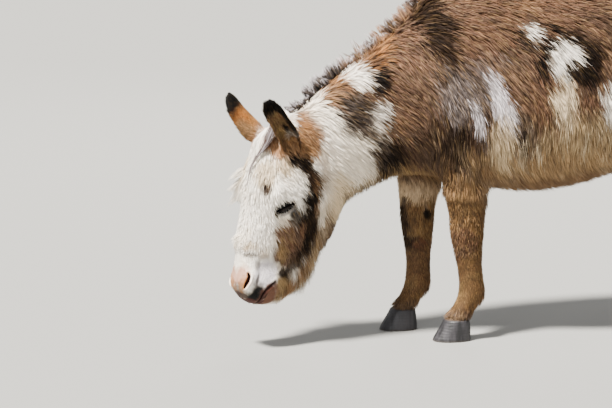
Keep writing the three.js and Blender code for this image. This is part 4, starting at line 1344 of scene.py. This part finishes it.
# The crest of the neck from the poll to the withers: x, y and z, and the mane's height there
CREST = np.array([
    (-0.432, -0.060, 0.612, 0.030), (-0.372, -0.048, 0.668, 0.056), (-0.310, -0.034, 0.716, 0.064),
    (-0.240, -0.020, 0.764, 0.066), (-0.170, -0.010, 0.816, 0.060), (-0.105, -0.003, 0.880, 0.050),
    (-0.045, 0.000, 0.948, 0.038), (0.020, 0.000, 0.985, 0.022),
])
MANE_HAIRS = 4200
# The forelock's way over the coat, from between the ears down the forehead
FORELOCK = np.array([
    (0.000, 0.070, 0.066), (0.058, 0.094, 0.104), (0.120, 0.096, 0.094), (0.177, 0.106, 0.078),
    (0.228, 0.112, 0.044), (0.283, 0.118, 0.030), (0.340, 0.116, 0.026), (0.410, 0.104, 0.026),
])
FORELOCK_HAIRS = 260
FORELOCK_STEPS = 8
# Clumps of loose hair: name, ends of the line that they stand on, shortest and longest, number
WISPS = [
    ("forehead_wisps", ((0.27, 0.075, -0.075), (0.45, 0.070, -0.100)), (0.030, 0.050), 13),
    ("nose_wisps", ((0.655, 0.045, -0.050), (0.685, 0.050, 0.030)), (0.016, 0.028), 9),
]
WISP_HAIRS = 16  # in each clump
LASHES = 560  # round each eye
UPPER_SHARE = 0.72  # of the lashes


def along_line(line, share):
    """Rows of a table at shares of its length."""
    places = np.linspace(0, 1, len(line))
    columns = [np.interp(share, places, column) for column in line.T]
    return np.stack(columns, 1)


def bent_spines(roots, way, bend, length, steps):
    """Spines that start along way and turn by bend, which grows towards the tip."""
    t = np.linspace(0, 1, steps)[None, :, None]
    reach = length[:, None, None]
    return roots[:, None] + way[:, None] * t * reach + bend[:, None] * t**2 * reach


def add_mane(material):
    """Upright hair in clumps of unequal height along the crest."""
    count = MANE_HAIRS
    share = rng.random(count)
    row = along_line(CREST, share)
    after = along_line(CREST[:, :3], np.minimum(share + 0.03, 1))
    before = along_line(CREST[:, :3], np.maximum(share - 0.03, 0))
    ahead = unit(after - before)
    sideways = unit(np.cross(ahead, UP))
    outward = unit(np.cross(sideways, ahead))
    aside = rng.normal(0, 0.0065, count)
    roots, _ = on_skin(row[:, :3] + sideways * aside[:, None])
    clump = cells(roots, 0.017, 340)
    clump_count = clump.max() + 1
    tallness = rng.uniform(0.50, 1.12, clump_count)[clump]
    lean = rng.normal(0, 0.16, (count, 1)) + rng.normal(-0.16, 0.14, clump_count)[clump, None]
    aslant = sideways * (aside[:, None] * 22 + rng.normal(0, 0.10, (count, 1)))
    way = unit(outward + aslant + ahead * lean)
    bend = ahead * rng.normal(0.08, 0.06, (count, 1)) + sideways * rng.normal(0, 0.05, (count, 1))
    length = row[:, 3] * rng.uniform(0.62, 1.0, count) * tallness
    spine = bent_spines(roots, way, bend, length, 4)
    for step, pull in ((2, 0.30), (3, 0.72)):
        spine[:, step] = gathered(spine[:, step], clump, pull * rng.uniform(0.8, 1, count))
    # dark towards the poll, brown towards the withers, with frosted tips
    ragged = share + 0.12 * noise(roots, 0.04, 341)
    colours = mottled(mix(BROWN, TAN, 0.4), UMBER, 1, -0.3, 0.6, roots, 0.03, 342)
    colours = mix(colours, BLACK, 1 - smoothstep(0.28, 0.52, ragged))
    shades = tuft_shades(colours, 4, pale_share=0.1)
    frosted = (rng.random(count) < 0.6) * rng.uniform(0.4, 1.0, count)
    frosted = frosted * (1 - 0.6 * smoothstep(0.4, 0.7, share))
    shades[:, 3] = mix(shades[:, 3], LILAC, frosted)
    shades[:, 2] = mix(shades[:, 2], GREY * 1.3, frosted * 0.7)
    width = rng.uniform(0.0020, 0.0034, count) * 1
    add_tufts("mane_hair", spine, outward, width, shades, "neck", material, "long_hair", "mane")


def add_forelock(material):
    """One thick strand that ends on the forehead, with a few hairs that hang further."""
    count, steps = FORELOCK_HAIRS, FORELOCK_STEPS
    far = rng.random(count) < 0.10
    reach = np.where(far, rng.uniform(0.85, 1.0, count), rng.uniform(0.30, 0.54, count))
    start = rng.uniform(0, 0.16, count)
    t = start[:, None] + (reach - start)[:, None] * np.linspace(0, 1, steps)
    path = along_line(FORELOCK, t.ravel()).reshape(count, steps, 3)
    spread = rng.normal(0, 1, (count, 1, 3)) * [0.006, 0.008, 0.011]
    curl = rng.normal(0, 1, (count, 1, 3)) * [0.0, 0.003, 0.006]
    narrow = np.interp(t, [0, 0.2, 0.45, 1.0], [1.0, 1.1, 0.45, 0.10])[..., None]
    swing = np.sin(np.linspace(0, math.pi, steps))[None, :, None]
    spine = from_head(path + spread * narrow + curl * swing * narrow)
    colours = mix(mix(UMBER, BROWN, 0.5), LILAC, 0.85 * rng.random(count) ** 2.4)
    shades = np.repeat((colours * rng.uniform(0.6, 1.1, (count, 1)))[:, None], steps, 1)
    add_tufts("forelock", spine, np.tile(OUT, (count, 1)), np.full(count, 0.0012), shades, "head",
              material, "long_hair")


def add_wisps(material, name, ends, sizes, total):
    """Loose clumps of white hair that stand out from the face along a line."""
    share = np.sort(rng.random(total))
    middle = mix(np.array(ends[0]), np.array(ends[1]), share) + rng.normal(0, 0.006, (total, 3))
    clump = np.repeat(np.arange(total), WISP_HAIRS)
    roots = from_head(middle)[clump] + rng.normal(0, 0.0045, (len(clump), 3))
    roots, normals = on_skin(roots)
    aim = (ALONG * rng.uniform(0.5, 1.0, (total, 1)) + OUT * rng.uniform(0.1, 0.6, (total, 1))
           - LEFT * rng.uniform(0.2, 0.9, (total, 1)))
    way = unit(unit(aim)[clump] + normals * 0.35 + rng.normal(0, 0.10, roots.shape))
    size = rng.uniform(*sizes, total)[clump] * rng.uniform(0.6, 1.0, len(roots))
    spine = bent_spines(roots, way, ALONG * 0.25 - UP * 0.10, size, 3)
    spine[:, 2] = gathered(spine[:, 2], clump, rng.uniform(0.3, 0.8, len(roots)))
    colours = mix(all_of(WHITE, roots), CREAM, rng.random(len(roots)) * 0.6)
    width = np.full(len(roots), 0.0018)
    add_tufts(name, spine, normals, width, tuft_shades(colours, 3), "head", material)


# ---- Eyes and lashes ---------------------------------------------------------------------

EYE_RINGS, EYE_AROUND = 56, 72
POLE = 0.004  # angle of the eyeball's first and last rings
CORNEA = 0.0014
RIM_STEPS = 40  # along each lid
RIM_AROUND = 10
RIM_RADIUS = 0.0015


def lid_edge(side, across, upper, reach):
    """Places on the lids' edges at angles across the eye, as far from its centre as reach."""
    rise = np.where(upper, UPPER_LID, -LOWER_LID) * np.maximum(1 - (across / SLIT_WIDE) ** 2, 0)
    centre, axes = eye_frame(side)
    level = np.cos(rise)
    local = np.stack([level * np.sin(across), np.sin(rise), level * np.cos(across)], 1)
    return centre + (local @ axes) * reach


def add_lashes(material, name, side):
    """Lashes along both lids of an eye, the upper ones longer."""
    _, (front, brow, gaze) = eye_frame(side)
    upper = rng.random(LASHES) < UPPER_SHARE
    across = rng.uniform(-0.92, 0.86, LASHES) * SLIT_WIDE
    roots = lid_edge(side, across, upper, EYE_RADIUS + 0.0022)
    fan = front * (across / SLIT_WIDE * 0.7)[:, None]
    lift = np.where(upper, 0.45, -0.55)[:, None]
    sink = np.where(upper, 0.35, 0.2)[:, None]
    stray = rng.normal(0, 0.10, (LASHES, 3))
    way = unit(gaze * 0.9 + fan + brow * lift - UP * sink + stray)
    length = np.where(upper, 0.0175, 0.0075) * rng.uniform(0.55, 1.15, LASHES)
    bend = brow * np.where(upper, -0.15, -0.1)[:, None] - UP * 0.2
    spine = bent_spines(roots, way, bend, length, 4)
    shades = np.tile(INK, (LASHES, 4, 1))
    add_tufts(f"lashes_{name}", spine, all_of(brow, roots), np.full(LASHES, 0.00085), shades,
              "head", material, "long_hair")


def add_lid_rims(material, name, side):
    """A thin rolled edge round the opening between the lids."""
    sweep = np.linspace(-1, 1, RIM_STEPS)
    across = np.concatenate([sweep, sweep[-2:0:-1]]) * SLIT_WIDE * 1.02
    upper = np.arange(len(across)) < RIM_STEPS
    line = lid_edge(side, across, upper, EYE_RADIUS + 0.0012)
    ahead = unit(np.roll(line, -1, 0) - np.roll(line, 1, 0))
    out = unit(np.cross(ahead, line - line.mean(0)))
    over = np.cross(out, ahead)
    angle = (np.arange(RIM_AROUND) * 2 * math.pi / RIM_AROUND)[None, :, None]
    ring = out[:, None] * np.cos(angle) + over[:, None] * np.sin(angle)
    points = (line[:, None] + ring * RIM_RADIUS).reshape(-1, 3)
    quads = ring_quads(len(line), RIM_AROUND, closed=True)
    mesh = mesh_from(f"lid_rims_{name}", points, quads.ravel(), np.full(len(quads), 4))
    add_colour(mesh, np.where(np.repeat(upper, RIM_AROUND)[:, None], BLACK * 0.8, GREY * 0.3))
    add_piece(f"lid_rims_{name}", mesh, "skin", material)


def add_eyeball(material, name, side):
    """An eyeball with a low cornea, a dark iris and a level, oblong pupil."""
    centre, axes = eye_frame(side)
    tilt = np.linspace(POLE, math.pi - POLE, EYE_RINGS)
    turn = np.arange(EYE_AROUND) * 2 * math.pi / EYE_AROUND
    a, b = np.meshgrid(tilt, turn, indexing="ij")
    local = np.stack([np.sin(a) * np.cos(b), np.sin(a) * np.sin(b), np.cos(a)], -1).reshape(-1, 3)
    cornea = CORNEA * (1 - smoothstep(0.35, 0.75, a.ravel()))
    points = centre + (local * (EYE_RADIUS + cornea)[:, None]) @ axes
    quads = ring_quads(EYE_RINGS, EYE_AROUND)
    first_ring = np.arange(EYE_AROUND)
    caps = [first_ring[::-1], (EYE_RINGS - 1) * EYE_AROUND + first_ring]
    if side < 0:  # the axes of the right eye are left-handed
        quads = quads[:, ::-1]
        caps = [cap[::-1] for cap in caps]
    sizes = np.concatenate([np.full(len(quads), 4), [EYE_AROUND, EYE_AROUND]])
    mesh = mesh_from(f"eyeball_{name}", points, np.concatenate([quads.ravel(), *caps]), sizes)
    off = np.hypot(local[:, 0], local[:, 1])
    iris = mix(paint(44, 28, 18), paint(22, 15, 12), smoothstep(0.30, 0.62, off))
    iris = mottled(iris, paint(70, 46, 30), 0.4, 0, 0.8, local, 0.12, 400)
    pupil = np.hypot(local[:, 0] / 0.34, local[:, 1] / 0.15)
    colour = mix(paint(6, 6, 9), iris, smoothstep(0.85, 1.1, pupil))
    colour = mix(colour, paint(60, 50, 44), smoothstep(0.72, 0.85, off) * 0.5)
    add_colour(mesh, colour)
    add_piece(f"eyeball_{name}", mesh, "eye", material, f"eye_{name}")


# ---- Hooves ------------------------------------------------------------------------------

def add_hoof(material, node):
    """A hoof with faint growth rings, and a crown that reaches up into the pastern."""
    mesh = voxel_shell(*node_mesh(node), HOOF_VOXEL)
    points = Net(mesh).relaxed(vectors(mesh.vertices, "co"), np.full(len(mesh.vertices), 5.0))
    normals = normals_of(mesh, points)
    low, high = points.min(0), points.max(0)
    rise = (points[:, 2] - low[2]) / (high[2] - low[2])
    wall = 1 - smoothstep(0.5, 0.8, np.abs(normals[:, 2]))
    sway = noise(points, 0.03, 410)
    ripple = 0.00020 * np.sin(rise * 52 + 2.2 * sway) + 0.0005 * sway
    points = points + normals * (wall * (ripple - 0.0007))[:, None]
    aside = (points - (low + high) / 2 - [0.012, 0, 0]) * [1, 1, 0]
    points = points - aside * (0.22 * smoothstep(0.84, 1.0, rise) ** 2)[:, None]
    off = np.linalg.norm(aside, axis=1) / 0.030
    points[:, 2] += 0.012 * smoothstep(0.9, 1.0, rise) * (1 - smoothstep(0.55, 1.0, off))
    # the sole lies flat on the floor
    points[:, 2] = np.interp(points[:, 2], [0.0, 0.0012, 0.0040, 1.0], [0.0, 0.0, 0.0040, 1.0])
    settle(mesh, points)
    streaks = points * [1, 1, 0.12]
    colour = mottled(paint(49, 47, 50), paint(26, 25, 27), 1, -0.5, 0.7, streaks, 0.008, 411)
    # the crown takes the legs' tan, darkened as painted shade
    colour = mix(colour, SHADED_LEG_TAN, 0.6 * smoothstep(0.90, 0.99, rise))
    colour = mix(colour, paint(84, 75, 66), 0.4 * (1 - smoothstep(0.0, 0.10, rise)))
    add_colour(mesh, colour)
    add_piece(f"{node}_horn", mesh, "hoof", material, node)


# ---- Materials ---------------------------------------------------------------------------

HAIR_ROUGHNESS = 0.65
STREAK_SCALE, STREAK_DETAIL = 420, 3
DARKEST, PALEST = 0.82, 1.14  # shares of the hair's colour in its streaks
GRAIN_DETAIL, GRAIN_HEIGHT = 4, 0.001


def add_node(tree, kind, **values):
    """A node of a material, with the values of its sockets."""
    node = tree.nodes.new(f"ShaderNode{kind}")
    for socket, value in values.items():
        node.inputs[socket.replace("_", " ")].default_value = value
    return node


def plain_material(name, roughness, specular=0.5):
    """A material of one roughness and specular level, with its nodes and shader."""
    material = bpy.data.materials.new(name)
    material.use_nodes = True
    tree = material.node_tree
    shader = tree.nodes["Principled BSDF"]
    shader.inputs["Roughness"].default_value = roughness
    shader.inputs["Specular IOR Level"].default_value = specular
    return material, tree, shader


def marked_material(name, roughness, specular):
    """A plain material with a node for the colours of the markings."""
    material, tree, shader = plain_material(name, roughness, specular)
    colour = add_node(tree, "Attribute")
    colour.attribute_name = "coat"
    return material, tree, shader, colour.outputs["Color"]


def grain_node(tree, scale, detail):
    """Fine noise in the object's own space."""
    place = add_node(tree, "TexCoord")
    grain = add_node(tree, "TexNoise", Scale=scale, Detail=detail)
    tree.links.new(place.outputs["Object"], grain.inputs["Vector"])
    return grain.outputs["Fac"]


def hair_material(name, specular):
    """Hair in the colours of the markings, with fine streaks."""
    material, tree, shader, colour = marked_material(name, HAIR_ROUGHNESS, specular)
    ramp = add_node(tree, "MapRange", To_Min=DARKEST, To_Max=PALEST)
    product = add_node(tree, "VectorMath")
    product.operation = "SCALE"
    tree.links.new(grain_node(tree, STREAK_SCALE, STREAK_DETAIL), ramp.inputs["Value"])
    tree.links.new(colour, product.inputs[0])
    tree.links.new(ramp.outputs["Result"], product.inputs["Scale"])
    tree.links.new(product.outputs["Vector"], shader.inputs["Base Color"])
    return material


def skin_material(name, roughness, specular, bump=0, scale=0):
    """Skin or horn in the colours of the markings, with fine grain in its bump."""
    material, tree, shader, colour = marked_material(name, roughness, specular)
    tree.links.new(colour, shader.inputs["Base Color"])
    if bump:
        relief = add_node(tree, "Bump", Strength=bump, Distance=GRAIN_HEIGHT)
        tree.links.new(grain_node(tree, scale, GRAIN_DETAIL), relief.inputs["Height"])
        tree.links.new(relief.outputs["Normal"], shader.inputs["Normal"])
    return material


# ---- Stage -------------------------------------------------------------------------------

def add_floor():
    mesh = bpy.data.meshes.new("floor")
    half = 40.0
    corners = [(-half, -half, 0), (half, -half, 0), (half, half, 0), (-half, half, 0)]
    mesh.from_pydata(corners, [], [(0, 1, 2, 3)])
    material, _, shader = plain_material("floor_pale", 0.9)
    shader.inputs["Base Color"].default_value = (0.25, 0.247, 0.235, 1)
    mesh.materials.append(material)
    new_object("floor", mesh)


def add_light(name, kind, place, target, energy, colour):
    """A light at a place, which faces the target. A sun's energy is its strength, else watts."""
    light = bpy.data.lights.new(name, kind)
    light.energy = energy
    light.color = colour
    obj = new_object(name, light)
    obj.location = place
    obj.rotation_euler = (Vector(target) - Vector(place)).to_track_quat("-Z", "Y").to_euler()
    return light


def add_lights():
    """A broad sun from the left front, a soft light before it and another behind."""
    sun = add_light("key", "SUN", (-0.50, -0.34, 1.0), (0, 0, 0), 20.3, (1.0, 0.965, 0.90))
    sun.angle = math.radians(9)
    fill = add_light("fill", "AREA", (-3.0, -5.0, 1.8), (0, 0, 0.5), 110, (0.96, 0.98, 1.0))
    back = add_light("back", "AREA", (1.5, 5.0, 3.5), (0, 0, 0.5), 160, (1.0, 0.98, 0.95))
    for light, size in ((fill, 3.0), (back, 2.5)):
        light.shape = "DISK"
        light.size = size


def add_world():
    world = bpy.data.worlds.new("studio")
    world.use_nodes = True
    background = world.node_tree.nodes["Background"]
    background.inputs["Color"].default_value = (0.95, 0.98, 1.0, 1)
    background.inputs["Strength"].default_value = 0.45
    bpy.context.scene.world = world


def add_camera():
    """The camera in front of the left shoulder, framed on the head and forequarters."""
    azimuth, elevation, distance = math.radians(-12), math.radians(8.5), 8.0
    target = Vector(ORIGIN) + Vector((-0.38, 0, 0.368))
    back = Vector((
        math.sin(azimuth) * math.cos(elevation),
        -math.cos(azimuth) * math.cos(elevation),
        math.sin(elevation),
    ))
    camera = bpy.data.cameras.new("camera")
    camera.lens = 176
    camera.sensor_width = 36
    obj = new_object("camera", camera)
    obj.location = target + back * distance
    obj.rotation_euler = (-back).to_track_quat("-Z", "Y").to_euler()
    bpy.context.scene.camera = obj


# ---- Assembly ----------------------------------------------------------------------------

skin_mesh, skin_points, skin_normals, skin_share = build_skin()
settle(skin_mesh, skin_points)
hair = hair_material("coat_hair", 0.06)
skin_colour = coat_colour(skin_points, skin_normals, skin_share)
# the skin is darker than the coat, except where it is bare
under = mix(0.5, 0.85, smoothstep(0.2, 0.5, skin_colour @ BRIGHTNESS))
under = mix(under, 0.97, bare_share(skin_points, skin_share))
add_colour(skin_mesh, skin_colour * under[:, None])
add_piece("skin", skin_mesh, "skin", skin_material("hide", 0.6, 0.15, 0.4, 700), *FLESH)
skin_mesh.calc_loop_triangles()
triangles = [tuple(t.vertices) for t in skin_mesh.loop_triangles]
skin_tree = BVHTree.FromPolygons(skin_points.tolist(), triangles)

build_coat(hair)
add_mane(hair)
add_forelock(hair)
for wisps in WISPS:
    add_wisps(hair, *wisps)
pieces_round_eyes = (
    (add_lashes, hair_material("lash_hair", 0.0)),
    (add_lid_rims, skin_material("bare_skin", 0.42, 0.20, 0.25, 900)),
    (add_eyeball, skin_material("eye_gloss", 0.06, 0.3)),
)
for add, material in pieces_round_eyes:
    for name, side in SIDES.items():
        add(material, name, side)
horn = skin_material("hoof_horn", 0.52, 0.4, 0.3, 260)
for node in HOOVES:
    add_hoof(horn, node)

add_floor()
add_lights()
add_world()
add_camera()
